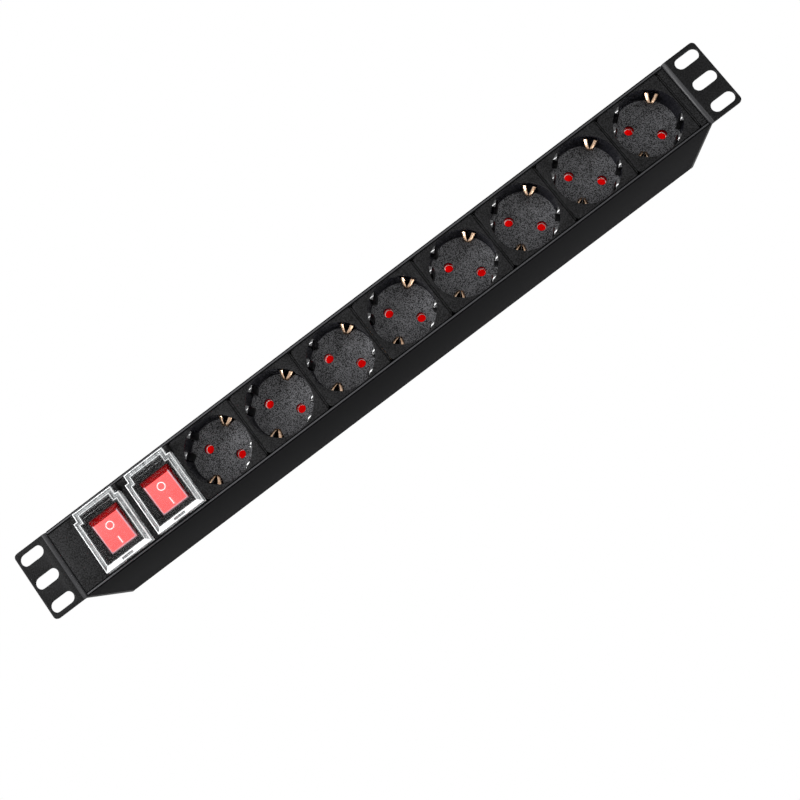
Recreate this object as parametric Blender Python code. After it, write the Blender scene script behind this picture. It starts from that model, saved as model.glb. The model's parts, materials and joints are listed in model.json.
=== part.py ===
"""Rack power strip: a one-unit aluminium profile with a row of earthed sockets on its front and on its rear.

Sizes are in metres. +X runs along the strip, the front faces -Y, +Z is up, and the origin is the middle of
the underside. Each face is modelled in a frame of its own, as someone who looks at that face sees it:
x to the right, z up from half height, and y into the strip from the rim.
"""
import math

import bmesh
import bpy
from mathutils import Matrix, Vector

# Profile
FIT = 0.0003
BODY_HEIGHT = 0.0444
BODY_DEPTH = 0.0880
WALL = 0.0020
WEB = 0.0020
EDGE_CHAMFER = 0.0004
GROOVE_WIDTH = 0.0026
GROOVE_CUT = 0.0008
SNAP_GROOVE_DEPTH = 0.0050
SCREW_GROOVE_DEPTH = 0.0225
WINDOW_LENGTH = 0.0300
WINDOW_HEIGHT = 0.0200
WINDOW_INSET = 0.0140
WINDOW_CORNER = 0.0030

# Layout of the two faces
SOCKET_COUNT = 8
SOCKET_PITCH = 0.0434
END_PANEL_PITCH = 0.0171
SWITCH_PITCH = 0.0320
FILLER_PITCH = 0.0043
FRONT_STRIP_PITCH = 0.0040
REAR_STRIP_PITCH = 0.0086
BREAKER_MARGIN = 0.0040
BREAKER_FIELD = 0.0170
BREAKER_SPACING = 0.0252

# End brackets
SHEET = 0.0020
BEND_RADIUS = 0.0010
EAR_WIDTH = 0.0210
EAR_CORNER = 0.0025
SLOT_LENGTH = 0.0154
SLOT_HEIGHT = 0.0071
SLOT_PITCH = 0.015875
SLOT_MARGIN = 0.0013

# Snap-in pieces
FACE_RECESS = 0.0005
PANEL_THICKNESS = 0.0025
SKIRT = 0.0020
SKIRT_OVERRUN = 0.0012
TAB_WIDTH = 0.0120
FACE_LINE = 0.0005

# Sockets
SOCKET_CORNER = 0.0025
CUP_WALL = 0.0003
CUP_DEPTH = 0.0175
FLOOR = 0.0025
PIN_SPACING = 0.0190
PIN_HOLE = 0.0054
RIB_WIDTH = 0.0044
RIB_SPACING = 0.0120
RIB_REACH = 0.0031
RIB_DROP = 0.0010
RIB_SLOPE = 0.0036
CLIP_SLOT_WIDTH = 0.0088
CLIP_SLOT_CUT = 0.0016
CLIP_SLOT_DROP = 0.0012

# Shutters
SHUTTER_THICKNESS = 0.0030
SHUTTER_WIDTH = 0.0076
SHUTTER_BOSS = 0.0040
SHUTTER_SWING_GAP = 0.0006

# Rails
RAIL_SHEET = 0.0008
RAIL_GRIP = 0.0046
RAIL_DEPTH = 0.0080
RAIL_TAIL = 0.0120
EARTH_BAR = 0.0010
EARTH_BAR_WIDTH = 0.0036
EARTH_LINK = 0.0040
EARTH_LINK_GAP = 0.0010
CLIP_WIDTH = 0.0070
CLIP_SHEET = 0.0008
CLIP_BULGE = 0.0024
CLIP_INSET = 0.0006
CLIP_NOSE_DEPTH = 0.0115
CLIP_TIP_DEPTH = 0.0040

# Switches and their covers
ROCKER_WIDTH = 0.0192
ROCKER_FACE = 0.0196
ROCKER_RISE = 0.0089
ROCKER_SINK = 0.0002
ROCKER_TILT = math.radians(11.0)
ROCKER_HUB = 0.0035
ROCKER_SKIRT = 80.0
TRUNNION = 0.0030
TRUNNION_LENGTH = 0.0016
SWITCH_PLATE = 0.0070
SWITCH_WALL = 0.0022
BLADE_WIDTH = 0.0063
BLADE_SHEET = 0.0008
BLADE_LENGTH = 0.0070
BLADE_INSET = 0.0040
COVER_PROUD = 0.0068
COVER_WALL = 0.0013
COVER_STEP_DROP = 0.0054
COVER_MARGIN = 0.0005
COVER_BEVEL = 0.0010
COVER_NOTCH_WIDTH = 0.0080
COVER_NOTCH_HEIGHT = 0.0018
HINGE_PROUD = 0.0031
HINGE_DROP = 0.0026
HINGE_PIN = 0.0020
HINGE_RELIEF = 0.0014
LUG_THICKNESS = 0.0019
LUG_RADIUS = 0.0021
LUG_SETBACK = 0.00015

# Breakers
CASE_WIDTH = 0.0140
CASE_HEIGHT = 0.0300
CASE_DEPTH = 0.0220
NECK = 0.0118
NECK_PROUD = 0.0032
COLLAR = 0.0104
COLLAR_LENGTH = 0.0010
NUT = 0.0176
NUT_HEIGHT = 0.0026
NUT_TEETH = 24
NUT_TOOTH = 0.0003
BUTTON = 0.0082
BUTTON_PROUD = 0.0068
BUTTON_DOME = 0.0019
BUTTON_SHANK = 0.0120
BUTTON_BORE_DEPTH = 0.0090

# Cable gland
GLAND_DEPTH = 0.0220
GLAND_BORE = 0.0080
GLAND_SPIGOT = 0.0154
GLAND_SPIGOT_LENGTH = 0.0100
GLAND_FLANGE = 0.0192
GLAND_FLANGE_HEIGHT = 0.0027
GLAND_THREAD = 0.0128
GLAND_THREAD_HEIGHT = 0.0032
GLAND_NUT = 0.0196
GLAND_NUT_SKIRT = 0.0024
GLAND_DOME = 0.0033
GLAND_NOSE = 0.0112
GLAND_ROOF = 0.0014

# Facets of round shapes
CUP_STEPS = 24
POCKET_STEPS = 12
SMALL_STEPS = 8
BUTTON_STEPS = 16
ARC_STEPS = 4
CORNER_STEPS = 2

# Sizes that follow from those above
HALF_HEIGHT = BODY_HEIGHT / 2
HALF_DEPTH = BODY_DEPTH / 2
MODULE_HEIGHT = BODY_HEIGHT - 2 * (WALL + FIT)
MODULE_HALF = MODULE_HEIGHT / 2
FRONT_CONTROLS = END_PANEL_PITCH + 2 * SWITCH_PITCH + FILLER_PITCH
INNER_LENGTH = FRONT_CONTROLS + SOCKET_COUNT * SOCKET_PITCH + FRONT_STRIP_PITCH
INNER_HALF = INNER_LENGTH / 2
PLATE_OUTER = INNER_HALF + SHEET
EAR_END = PLATE_OUTER + EAR_WIDTH
BREAKER_PANEL_PITCH = INNER_LENGTH - REAR_STRIP_PITCH - SOCKET_COUNT * SOCKET_PITCH
SOCKET_WIDTH = SOCKET_PITCH - FIT
SWITCH_WIDTH = SWITCH_PITCH - FIT
PANEL_BACK = FACE_RECESS + PANEL_THICKNESS

CUP_RADIUS = min(MODULE_HEIGHT, SOCKET_WIDTH) / 2 - CUP_WALL
CUP_FLOOR = FACE_RECESS + CUP_DEPTH
FLOOR_BACK = CUP_FLOOR + FLOOR
SHUTTER_FRONT = FLOOR_BACK + FIT
SOCKET_BACK = SHUTTER_FRONT + SHUTTER_THICKNESS + FIT
SHUTTER_REACH = (PIN_SPACING + SHUTTER_WIDTH) / 2
PIN_ANGLE = math.radians(135)
CLIP_ANGLE = math.radians(45)
PIN_OFFSET = PIN_SPACING / 2 * math.sin(CLIP_ANGLE)
RAIL_SEAT = SOCKET_BACK + FIT
CLIP_ROOT = CUP_RADIUS - CLIP_INSET
EARTH_OFFSET = CLIP_ROOT * math.sin(CLIP_ANGLE)
CLIP_SPREAD = (CLIP_WIDTH + CLIP_SHEET) / 2 * math.sin(CLIP_ANGLE)

ROCKER_RADIUS = math.hypot(ROCKER_FACE / 2, ROCKER_RISE)
POCKET_RADIUS = ROCKER_RADIUS + FIT
PIVOT_DEPTH = (FACE_RECESS + ROCKER_SINK + ROCKER_RISE * math.cos(ROCKER_TILT)
               - ROCKER_FACE / 2 * math.sin(ROCKER_TILT))
SWITCH_PLATE_BACK = FACE_RECESS + SWITCH_PLATE
SWITCH_BACK = PIVOT_DEPTH + POCKET_RADIUS + SWITCH_WALL
COVER_FRONT = FACE_RECESS - COVER_PROUD
COVER_TOP_WIDTH = SWITCH_WIDTH - 2 * (LUG_SETBACK + LUG_THICKNESS + FIT)
COVER_TOP = MODULE_HALF - COVER_MARGIN
COVER_STEP = MODULE_HALF - COVER_STEP_DROP
HINGE_Y = FACE_RECESS - HINGE_PROUD
HINGE_Z = MODULE_HALF - HINGE_DROP
CASE_FRONT = PANEL_BACK + FIT
CASE_BACK = CASE_FRONT + CASE_DEPTH

# How far a tool reaches past the faces it cuts or joins
OVERLAP = 0.0005
THROUGH = 0.0100


def clear_scene():
    for item in list(bpy.data.objects):
        bpy.data.objects.remove(item, do_unlink=True)


def finish_mesh(bm):
    bmesh.ops.recalc_face_normals(bm, faces=bm.faces)
    mesh = bpy.data.meshes.new("solid")
    bm.to_mesh(mesh)
    bm.free()
    return mesh


def extrude(outline, axis, start, end):
    """Mesh of a flat outline that lies square to axis, pulled from start to end along it."""
    place = {
        "X": lambda a, b, depth: (depth, a, b),
        "Y": lambda a, b, depth: (a, depth, b),
        "Z": lambda a, b, depth: (a, b, depth),
    }[axis]
    bm = bmesh.new()
    face = bm.faces.new([bm.verts.new(place(a, b, start)) for a, b in outline])
    grown = bmesh.ops.extrude_face_region(bm, geom=[face])["geom"]
    moved = [item for item in grown if isinstance(item, bmesh.types.BMVert)]
    bmesh.ops.translate(bm, vec=Vector(place(0, 0, end - start)), verts=moved)
    return finish_mesh(bm)


def block(x, y, z):
    """Mesh of a box between two values on each axis."""
    return extrude([(x[0], z[0]), (x[1], z[0]), (x[1], z[1]), (x[0], z[1])], "Y", y[0], y[1])


def arc(centre, radius, start, end, steps):
    """Points of an arc, both ends included, with its angles in degrees."""
    turns = [math.radians(start + (end - start) * step / steps) for step in range(steps + 1)]
    return [(centre[0] + radius * math.cos(turn), centre[1] + radius * math.sin(turn)) for turn in turns]


def circle(radius, steps, centre=(0.0, 0.0)):
    return arc(centre, radius, 0, 360, steps)[:-1]


def rounded_rectangle(width, height, radius, steps, centre=(0.0, 0.0)):
    points = []
    for start, right, up in ((0, 1, 1), (90, -1, 1), (180, -1, -1), (270, 1, -1)):
        corner = (centre[0] + right * (width / 2 - radius), centre[1] + up * (height / 2 - radius))
        points += arc(corner, radius, start, start + 90, steps)
    return points


def stadium(length, width, steps, centre=(0.0, 0.0)):
    """Outline of a slot with round ends, its length along the first axis."""
    reach = (length - width) / 2
    right = arc((centre[0] + reach, centre[1]), width / 2, -90, 90, steps)
    left = arc((centre[0] - reach, centre[1]), width / 2, 90, 270, steps)
    return right + left


def revolve(profile, steps, closed):
    """Mesh of (radius, depth) points turned about Y; a closed profile leaves a bore along the axis."""
    bm = bmesh.new()
    rings = []
    for radius, depth in profile:
        points = circle(radius, steps) if radius > 0 else [(0.0, 0.0)]
        rings.append([bm.verts.new((a, depth, b)) for a, b in points])
    pairs = list(zip(rings, rings[1:]))
    if closed:
        pairs.append((rings[-1], rings[0]))
    for first, second in pairs:
        for step in range(steps):
            after = (step + 1) % steps
            corners = [first[step % len(first)], first[after % len(first)],
                       second[after % len(second)], second[step % len(second)]]
            bm.faces.new(dict.fromkeys(corners))
    return finish_mesh(bm)


def boolean(target, tool, operation):
    """Mesh of target with tool cut away, united or intersected; both inputs are used up."""
    body = bpy.data.objects.new("target", target)
    cutter = bpy.data.objects.new("tool", tool)
    for item in (body, cutter):
        bpy.context.scene.collection.objects.link(item)
    step = body.modifiers.new(operation, "BOOLEAN")
    step.operation = operation
    step.solver = "EXACT"
    step.object = cutter
    depsgraph = bpy.context.evaluated_depsgraph_get()
    result = bpy.data.meshes.new_from_object(body.evaluated_get(depsgraph))
    for item in (body, cutter):
        bpy.data.objects.remove(item, do_unlink=True)
    for used in (target, tool):
        bpy.data.meshes.remove(used)
    return result


def join(mesh, *tools):
    for tool in tools:
        mesh = boolean(mesh, tool, "UNION")
    return mesh


def cut(mesh, *tools):
    for tool in tools:
        mesh = boolean(mesh, tool, "DIFFERENCE")
    return mesh


def turned(mesh, angle):
    """The mesh turned about Y, so that what lay along x points at angle, seen from the face's front."""
    mesh.transform(Matrix.Rotation(-angle, 4, "Y"))
    return mesh


def material(name, colour, roughness, metallic=0.0, alpha=1.0):
    made = bpy.data.materials.new(name)
    made.use_nodes = True
    shader = made.node_tree.nodes["Principled BSDF"]
    shader.inputs["Base Color"].default_value = (*colour, 1.0)
    shader.inputs["Roughness"].default_value = roughness
    shader.inputs["Metallic"].default_value = metallic
    shader.inputs["Alpha"].default_value = alpha
    return made


def place(name, mesh, finish, parent=None, location=(0.0, 0.0, 0.0), rotation=(0.0, 0.0, 0.0)):
    """A named piece with its finish, shaded smooth except at its sharp edges."""
    if not mesh.materials:
        mesh.materials.append(finish)
        mesh.shade_smooth()
        mesh.set_sharp_from_angle(angle=math.radians(30))
    piece = bpy.data.objects.new(name, mesh)
    piece.parent = parent
    piece.location = location
    piece.rotation_euler = rotation
    bpy.context.scene.collection.objects.link(piece)
    return piece


def face_frame(name, y, turn):
    """Empty at the middle of one face's rim; its y axis points into the strip."""
    frame = bpy.data.objects.new(name, None)
    frame.location = (0.0, y, HALF_HEIGHT)
    frame.rotation_euler = (0.0, 0.0, turn)
    bpy.context.scene.collection.objects.link(frame)
    return frame


def grooved_edge(side, level, sink):
    """Points along a long wall's inner face, from the front (-1) or rear (1) rim to the web."""
    points = [(side * HALF_DEPTH, level)]
    for depth in (SNAP_GROOVE_DEPTH, SCREW_GROOVE_DEPTH):
        middle = HALF_DEPTH - depth
        outer, inner = middle + GROOVE_WIDTH / 2, middle - GROOVE_WIDTH / 2
        for y, z in ((outer, level), (outer, level + sink), (inner, level + sink), (inner, level)):
            points.append((side * y, z))
    points.append((side * WEB / 2, level))
    return points


def housing_mesh():
    """Extruded H section: two long walls with snap and screw grooves, and a web with a window for wiring."""
    floor, roof = WALL, BODY_HEIGHT - WALL
    outline = [(EDGE_CHAMFER - HALF_DEPTH, 0.0), (HALF_DEPTH - EDGE_CHAMFER, 0.0), (HALF_DEPTH, EDGE_CHAMFER)]
    outline += grooved_edge(1, floor, -GROOVE_CUT)
    outline += reversed(grooved_edge(1, roof, GROOVE_CUT))
    outline += [(HALF_DEPTH, BODY_HEIGHT - EDGE_CHAMFER), (HALF_DEPTH - EDGE_CHAMFER, BODY_HEIGHT)]
    outline += [(EDGE_CHAMFER - HALF_DEPTH, BODY_HEIGHT), (-HALF_DEPTH, BODY_HEIGHT - EDGE_CHAMFER)]
    outline += grooved_edge(-1, roof, GROOVE_CUT)
    outline += reversed(grooved_edge(-1, floor, -GROOVE_CUT))
    outline.append((-HALF_DEPTH, EDGE_CHAMFER))
    end = INNER_HALF - FIT
    middle = (WINDOW_INSET + WINDOW_LENGTH / 2 - end, HALF_HEIGHT)
    window = rounded_rectangle(WINDOW_LENGTH, WINDOW_HEIGHT, WINDOW_CORNER, CORNER_STEPS, middle)
    return cut(extrude(outline, "X", -end, end), extrude(window, "Y", -WEB, WEB))


def bracket_mesh(side):
    """Bent sheet: an end plate over the profile's end and a slotted ear level with the front rim."""
    front = -HALF_DEPTH
    bend = (PLATE_OUTER + BEND_RADIUS, front + SHEET + BEND_RADIUS)
    section = [(INNER_HALF, HALF_DEPTH), (PLATE_OUTER, HALF_DEPTH)]
    section += arc(bend, BEND_RADIUS, 180, 270, ARC_STEPS)
    section += [(EAR_END + THROUGH, front + SHEET), (EAR_END + THROUGH, front)]
    section += arc(bend, BEND_RADIUS + SHEET, 270, 180, ARC_STEPS)
    sheet = extrude([(side * x, y) for x, y in section], "Z", -THROUGH, BODY_HEIGHT + THROUGH)

    ear_outline = rounded_rectangle(2 * EAR_END, BODY_HEIGHT, EAR_CORNER, ARC_STEPS, (0.0, HALF_HEIGHT))
    sheet = boolean(sheet, extrude(ear_outline, "Y", front - THROUGH, HALF_DEPTH + THROUGH), "INTERSECT")
    slot_x = side * (EAR_END - SLOT_MARGIN - SLOT_LENGTH / 2)
    for row in (-1, 0, 1):
        slot = stadium(SLOT_LENGTH, SLOT_HEIGHT, 2 * ARC_STEPS, (slot_x, HALF_HEIGHT + row * SLOT_PITCH))
        sheet = cut(sheet, extrude(slot, "Y", front - SHEET, front + 2 * SHEET))
    return sheet


def snap_tab():
    """Bar across a module whose two ends spring into the snap grooves of the long walls."""
    reach = MODULE_HALF + GROOVE_CUT
    half_width = GROOVE_WIDTH / 2 - FIT
    return block((-TAB_WIDTH / 2, TAB_WIDTH / 2),
                 (SNAP_GROOVE_DEPTH - half_width, SNAP_GROOVE_DEPTH + half_width), (-reach, reach))


def panel_mesh(pitch):
    """Blanking piece: a plate with two skirts whose ridges snap into the long walls."""
    ridge_front = SNAP_GROOVE_DEPTH - GROOVE_WIDTH / 2 + FIT
    ridge_back = SNAP_GROOVE_DEPTH + GROOVE_WIDTH / 2 - FIT
    ridge_top = MODULE_HALF + GROOVE_CUT
    skirt_end = ridge_back + SKIRT_OVERRUN
    skirt_inner = MODULE_HALF - SKIRT
    upper = [(FACE_RECESS, MODULE_HALF), (ridge_front, MODULE_HALF), (ridge_front, ridge_top),
             (ridge_back, ridge_top), (ridge_back, MODULE_HALF), (skirt_end, MODULE_HALF),
             (skirt_end, skirt_inner), (PANEL_BACK, skirt_inner)]
    lower = [(y, -z) for y, z in reversed(upper)]
    width = pitch - FIT
    return extrude(upper + lower, "X", -width / 2, width / 2)


def breaker_places():
    """The two breakers' places, measured from the middle of their panel."""
    first = BREAKER_MARGIN + BREAKER_FIELD / 2 - BREAKER_PANEL_PITCH / 2
    return {"front_bank": first, "rear_bank": first + BREAKER_SPACING}


def breaker_panel_mesh():
    """Panel with a hole and a field between two fine lines for each breaker, and a plain field beside."""
    panel = panel_mesh(BREAKER_PANEL_PITCH)
    for middle in breaker_places().values():
        hole = circle(NECK / 2 + FIT, BUTTON_STEPS, (middle, 0.0))
        panel = cut(panel, extrude(hole, "Y", -THROUGH, THROUGH))
        for edge in (middle - BREAKER_FIELD / 2, middle + BREAKER_FIELD / 2):
            panel = cut(panel, block((edge - FACE_LINE / 2, edge + FACE_LINE / 2),
                                     (-THROUGH, FACE_RECESS + FACE_LINE), (-HALF_HEIGHT, HALF_HEIGHT)))
    return panel


def guide_rib(offset):
    """Rib that keys a plug's side: it stands on the cup's wall and floor and slopes in at its top."""
    inner = CUP_RADIUS - RIB_REACH
    top = FACE_RECESS + RIB_DROP
    outline = [(CUP_RADIUS, top), (CUP_RADIUS, CUP_FLOOR + OVERLAP), (inner, CUP_FLOOR + OVERLAP),
               (inner, top + RIB_SLOPE), (CUP_RADIUS - RIB_REACH / 2, top)]
    return extrude(outline, "Z", offset - RIB_WIDTH / 2, offset + RIB_WIDTH / 2)


def socket_mesh():
    """Moulded insert: cup with guide ribs, clip slots and pin holes; a shutter pocket behind its floor."""
    outline = rounded_rectangle(SOCKET_WIDTH, MODULE_HEIGHT, SOCKET_CORNER, CORNER_STEPS)
    body = extrude(outline, "Y", FACE_RECESS, SOCKET_BACK)
    body = join(body, snap_tab())
    body = cut(body, extrude(circle(CUP_RADIUS, CUP_STEPS), "Y", -THROUGH, CUP_FLOOR))
    for angle in (PIN_ANGLE, PIN_ANGLE + math.pi):
        for offset in (-RIB_SPACING / 2, RIB_SPACING / 2):
            body = join(body, turned(guide_rib(offset), angle))
    for angle in (CLIP_ANGLE, CLIP_ANGLE + math.pi):
        slot = block((CLIP_ROOT - CLIP_SHEET / 2 - FIT, CUP_RADIUS + CLIP_SLOT_CUT),
                     (FACE_RECESS + CLIP_SLOT_DROP, SOCKET_BACK + THROUGH),
                     (-CLIP_SLOT_WIDTH / 2, CLIP_SLOT_WIDTH / 2))
        body = cut(body, turned(slot, angle))
    pocket = circle(SHUTTER_REACH + SHUTTER_SWING_GAP, POCKET_STEPS)
    body = cut(body, extrude(pocket, "Y", FLOOR_BACK, SOCKET_BACK + THROUGH))
    body = join(body, extrude(circle(SHUTTER_BOSS / 2, SMALL_STEPS), "Y", FLOOR_BACK - OVERLAP, SOCKET_BACK))
    for x in (-PIN_SPACING / 2, PIN_SPACING / 2):
        hole = circle(PIN_HOLE / 2, SMALL_STEPS, (x, 0.0))
        bore = extrude(hole, "Y", CUP_FLOOR - OVERLAP, FLOOR_BACK + OVERLAP)
        body = cut(body, turned(bore, PIN_ANGLE))
    return body


def shutter_mesh():
    """Bar that turns on the boss behind the floor; its two ends close the pin holes."""
    outline = stadium(2 * SHUTTER_REACH, SHUTTER_WIDTH, ARC_STEPS)
    back = SHUTTER_FRONT + SHUTTER_THICKNESS
    bar = turned(extrude(outline, "Y", SHUTTER_FRONT, back), PIN_ANGLE)
    bore = circle(SHUTTER_BOSS / 2 + FIT, SMALL_STEPS)
    return cut(bar, extrude(bore, "Y", SHUTTER_FRONT - OVERLAP, back + OVERLAP))


def rail_span():
    """Ends of the live and neutral rails, measured from the first socket's axis."""
    return -PIN_OFFSET - RAIL_TAIL / 2, (SOCKET_COUNT - 1) * SOCKET_PITCH + PIN_OFFSET + RAIL_TAIL / 2


def pin_rail_mesh(height):
    """Channel whose two leaves grip every plug pin at one height; it rests on the backs of the sockets."""
    start, end = rail_span()
    inner = RAIL_GRIP / 2
    outer = inner + RAIL_SHEET
    back = RAIL_SEAT + RAIL_DEPTH
    bed = back - RAIL_SHEET
    outline = [(RAIL_SEAT, outer), (back, outer), (back, -outer), (RAIL_SEAT, -outer),
               (RAIL_SEAT, -inner), (bed, -inner), (bed, inner), (RAIL_SEAT, inner)]
    return extrude([(y, z + height) for y, z in outline], "X", start, end)


def earth_clip(angle, x):
    """Bent strip that rises from the earth bar through its slot and bows into the cup."""
    half = CLIP_SHEET / 2
    nose = CLIP_ROOT - CLIP_BULGE
    path = [(CLIP_ROOT, RAIL_SEAT + EARTH_BAR / 2), (CLIP_ROOT, CUP_FLOOR - CLIP_SHEET),
            (nose, FACE_RECESS + CLIP_NOSE_DEPTH), (CLIP_ROOT + half, FACE_RECESS + CLIP_TIP_DEPTH)]
    outline = [(r + half, y) for r, y in path] + [(r - half, y) for r, y in reversed(path)]
    strip = turned(extrude(outline, "Z", -CLIP_WIDTH / 2, CLIP_WIDTH / 2), angle)
    strip.transform(Matrix.Translation((x, 0.0, 0.0)))
    return strip


def earth_rail_mesh():
    """Two bars joined by a link past the live and neutral rails, with a pair of clips for each socket."""
    half = EARTH_BAR_WIDTH / 2
    low, high = EARTH_OFFSET - half, EARTH_OFFSET + half
    last_clip = (SOCKET_COUNT - 1) * SOCKET_PITCH + EARTH_OFFSET + CLIP_SPREAD
    link_start = max(last_clip, rail_span()[1]) + EARTH_LINK_GAP
    link_end = link_start + EARTH_LINK
    upper_start, lower_start = EARTH_OFFSET - CLIP_WIDTH, -EARTH_OFFSET - CLIP_WIDTH
    outline = [(upper_start, high), (link_end, high), (link_end, -high), (lower_start, -high),
               (lower_start, -low), (link_start, -low), (link_start, low), (upper_start, low)]
    rail = extrude(outline, "Y", RAIL_SEAT, RAIL_SEAT + EARTH_BAR)
    for number in range(SOCKET_COUNT):
        for angle in (CLIP_ANGLE, CLIP_ANGLE + math.pi):
            rail = join(rail, earth_clip(angle, number * SOCKET_PITCH))
    return rail


def blades(back, places):
    """Flat terminals that stand out of the back of a switch or a breaker."""
    half, sheet = BLADE_WIDTH / 2, BLADE_SHEET / 2
    return [block((x - sheet, x + sheet), (back - OVERLAP, back + BLADE_LENGTH), (z - half, z + half))
            for x, z in places]


def switch_mesh():
    """Switch frame: plate with hinge lugs, round pocket for the rocker, switch body and four blades."""
    body_half_width = ROCKER_WIDTH / 2 + FIT + SWITCH_WALL
    body_half_height = POCKET_RADIUS + SWITCH_WALL
    frame = block((-SWITCH_WIDTH / 2, SWITCH_WIDTH / 2), (FACE_RECESS, SWITCH_PLATE_BACK),
                  (-MODULE_HALF, MODULE_HALF))
    frame = join(frame, snap_tab())
    frame = join(frame, block((-body_half_width, body_half_width), (SWITCH_PLATE_BACK - OVERLAP, SWITCH_BACK),
                              (-body_half_height, body_half_height)))
    corner = (body_half_width - BLADE_INSET, body_half_height - BLADE_INSET - BLADE_WIDTH / 2)
    corners = [(x * corner[0], z * corner[1]) for x in (-1, 1) for z in (-1, 1)]
    frame = join(frame, *blades(SWITCH_BACK, corners))

    lug_inner = COVER_TOP_WIDTH / 2 + FIT
    lug_foot = FACE_RECESS + OVERLAP
    lug_outline = [(lug_foot, HINGE_Z - LUG_RADIUS), (lug_foot, HINGE_Z + LUG_RADIUS)]
    lug_outline += arc((HINGE_Y, HINGE_Z), LUG_RADIUS, 90, 270, 2 * ARC_STEPS)
    for side in (-1, 1):
        inner, outer = side * lug_inner, side * (lug_inner + LUG_THICKNESS)
        pin_end = side * (lug_inner - FIT - COVER_WALL)
        pin_root = side * (lug_inner + OVERLAP)
        frame = join(frame, extrude(lug_outline, "X", min(inner, outer), max(inner, outer)))
        pin = circle(HINGE_PIN / 2, SMALL_STEPS, (HINGE_Y, HINGE_Z))
        frame = join(frame, extrude(pin, "X", min(pin_end, pin_root), max(pin_end, pin_root)))

    pocket_half = ROCKER_WIDTH / 2 + FIT
    pocket = circle(POCKET_RADIUS, CUP_STEPS, (PIVOT_DEPTH, 0.0))
    bearing = circle(TRUNNION / 2 + FIT, SMALL_STEPS, (PIVOT_DEPTH, 0.0))
    bearing_end = pocket_half + TRUNNION_LENGTH
    return cut(frame, extrude(pocket, "X", -pocket_half, pocket_half),
               extrude(bearing, "X", -bearing_end, bearing_end))


def rocker_mesh():
    """Rocker about its own pivot: flat face, round ends that turn inside the pocket, and two trunnions."""
    half_face = ROCKER_FACE / 2
    crest = math.degrees(math.atan2(half_face, ROCKER_RISE))
    outline = arc((0.0, 0.0), ROCKER_RADIUS, 180 - crest, 180 - ROCKER_SKIRT, ARC_STEPS)
    outline += [(ROCKER_HUB, ROCKER_HUB), (ROCKER_HUB, -ROCKER_HUB)]
    outline += arc((0.0, 0.0), ROCKER_RADIUS, 180 + ROCKER_SKIRT, 180 + crest, ARC_STEPS)
    half_width = ROCKER_WIDTH / 2
    rocker = extrude(outline, "X", -half_width, half_width)
    reach = half_width + TRUNNION_LENGTH
    return join(rocker, extrude(circle(TRUNNION / 2, SMALL_STEPS), "X", -reach, reach))


def cover_shell(inset, front, back):
    """Stepped cover outline, narrower at its hinge end, drawn in by inset and pulled from front to back."""
    wide, narrow = SWITCH_WIDTH / 2 - inset, COVER_TOP_WIDTH / 2 - inset
    top, step, bottom = COVER_TOP - inset, COVER_STEP - inset, COVER_MARGIN - MODULE_HALF + inset
    outline = [(wide, bottom), (wide, step), (narrow, step), (narrow, top),
               (-narrow, top), (-narrow, step), (-wide, step), (-wide, bottom)]
    return extrude(outline, "Y", front, back)


def cover_mesh():
    """Clear flip cover about its hinge: stepped hood, open at its back, with a fingernail notch."""
    hood = cover_shell(0.0, COVER_FRONT, FACE_RECESS - FIT)
    front_edges = bmesh.new()
    front_edges.from_mesh(hood)
    edges = [edge for edge in front_edges.edges if all(vert.co.y < COVER_FRONT + FIT for vert in edge.verts)]
    bmesh.ops.bevel(front_edges, geom=edges, offset=COVER_BEVEL, segments=1, affect="EDGES")
    hood = finish_mesh(front_edges)
    hood = cut(hood, cover_shell(COVER_WALL, COVER_FRONT + COVER_WALL, THROUGH))
    relief = block((-SWITCH_WIDTH, SWITCH_WIDTH), (FACE_RECESS - HINGE_RELIEF, THROUGH),
                   (COVER_STEP, MODULE_HALF + OVERLAP))
    notch_top = FACE_RECESS - FIT - COVER_NOTCH_HEIGHT
    notch = block((-COVER_NOTCH_WIDTH / 2, COVER_NOTCH_WIDTH / 2), (notch_top, THROUGH),
                  (-MODULE_HALF - OVERLAP, -MODULE_HALF / 2))
    pin = circle(HINGE_PIN / 2 + FIT, SMALL_STEPS, (HINGE_Y, HINGE_Z))
    hood = cut(hood, relief, notch, extrude(pin, "X", -SWITCH_WIDTH, SWITCH_WIDTH))
    hood.transform(Matrix.Translation((0.0, -HINGE_Y, -HINGE_Z)))
    return hood


def breaker_mesh():
    """Thermal breaker: case behind the panel, bored neck with a collar at its mouth, and two blades."""
    case = block((-CASE_WIDTH / 2, CASE_WIDTH / 2), (CASE_FRONT, CASE_BACK),
                 (-CASE_HEIGHT / 2, CASE_HEIGHT / 2))
    neck_end = FACE_RECESS - NECK_PROUD
    collar_end = neck_end + COLLAR_LENGTH
    neck_root = CASE_FRONT + OVERLAP
    neck = [(0.0, neck_end), (COLLAR / 2, neck_end), (COLLAR / 2, collar_end),
            (NECK / 2, collar_end), (NECK / 2, neck_root), (0.0, neck_root)]
    case = join(case, revolve(neck, BUTTON_STEPS, False))
    blade_height = CASE_HEIGHT / 2 - BLADE_INSET - BLADE_WIDTH / 2
    case = join(case, *blades(CASE_BACK, [(0.0, blade_height), (0.0, -blade_height)]))
    bore_end = CASE_FRONT + BUTTON_BORE_DEPTH
    return cut(case, extrude(circle(BUTTON / 2 + FIT, BUTTON_STEPS), "Y", neck_end - OVERLAP, bore_end))


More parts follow.
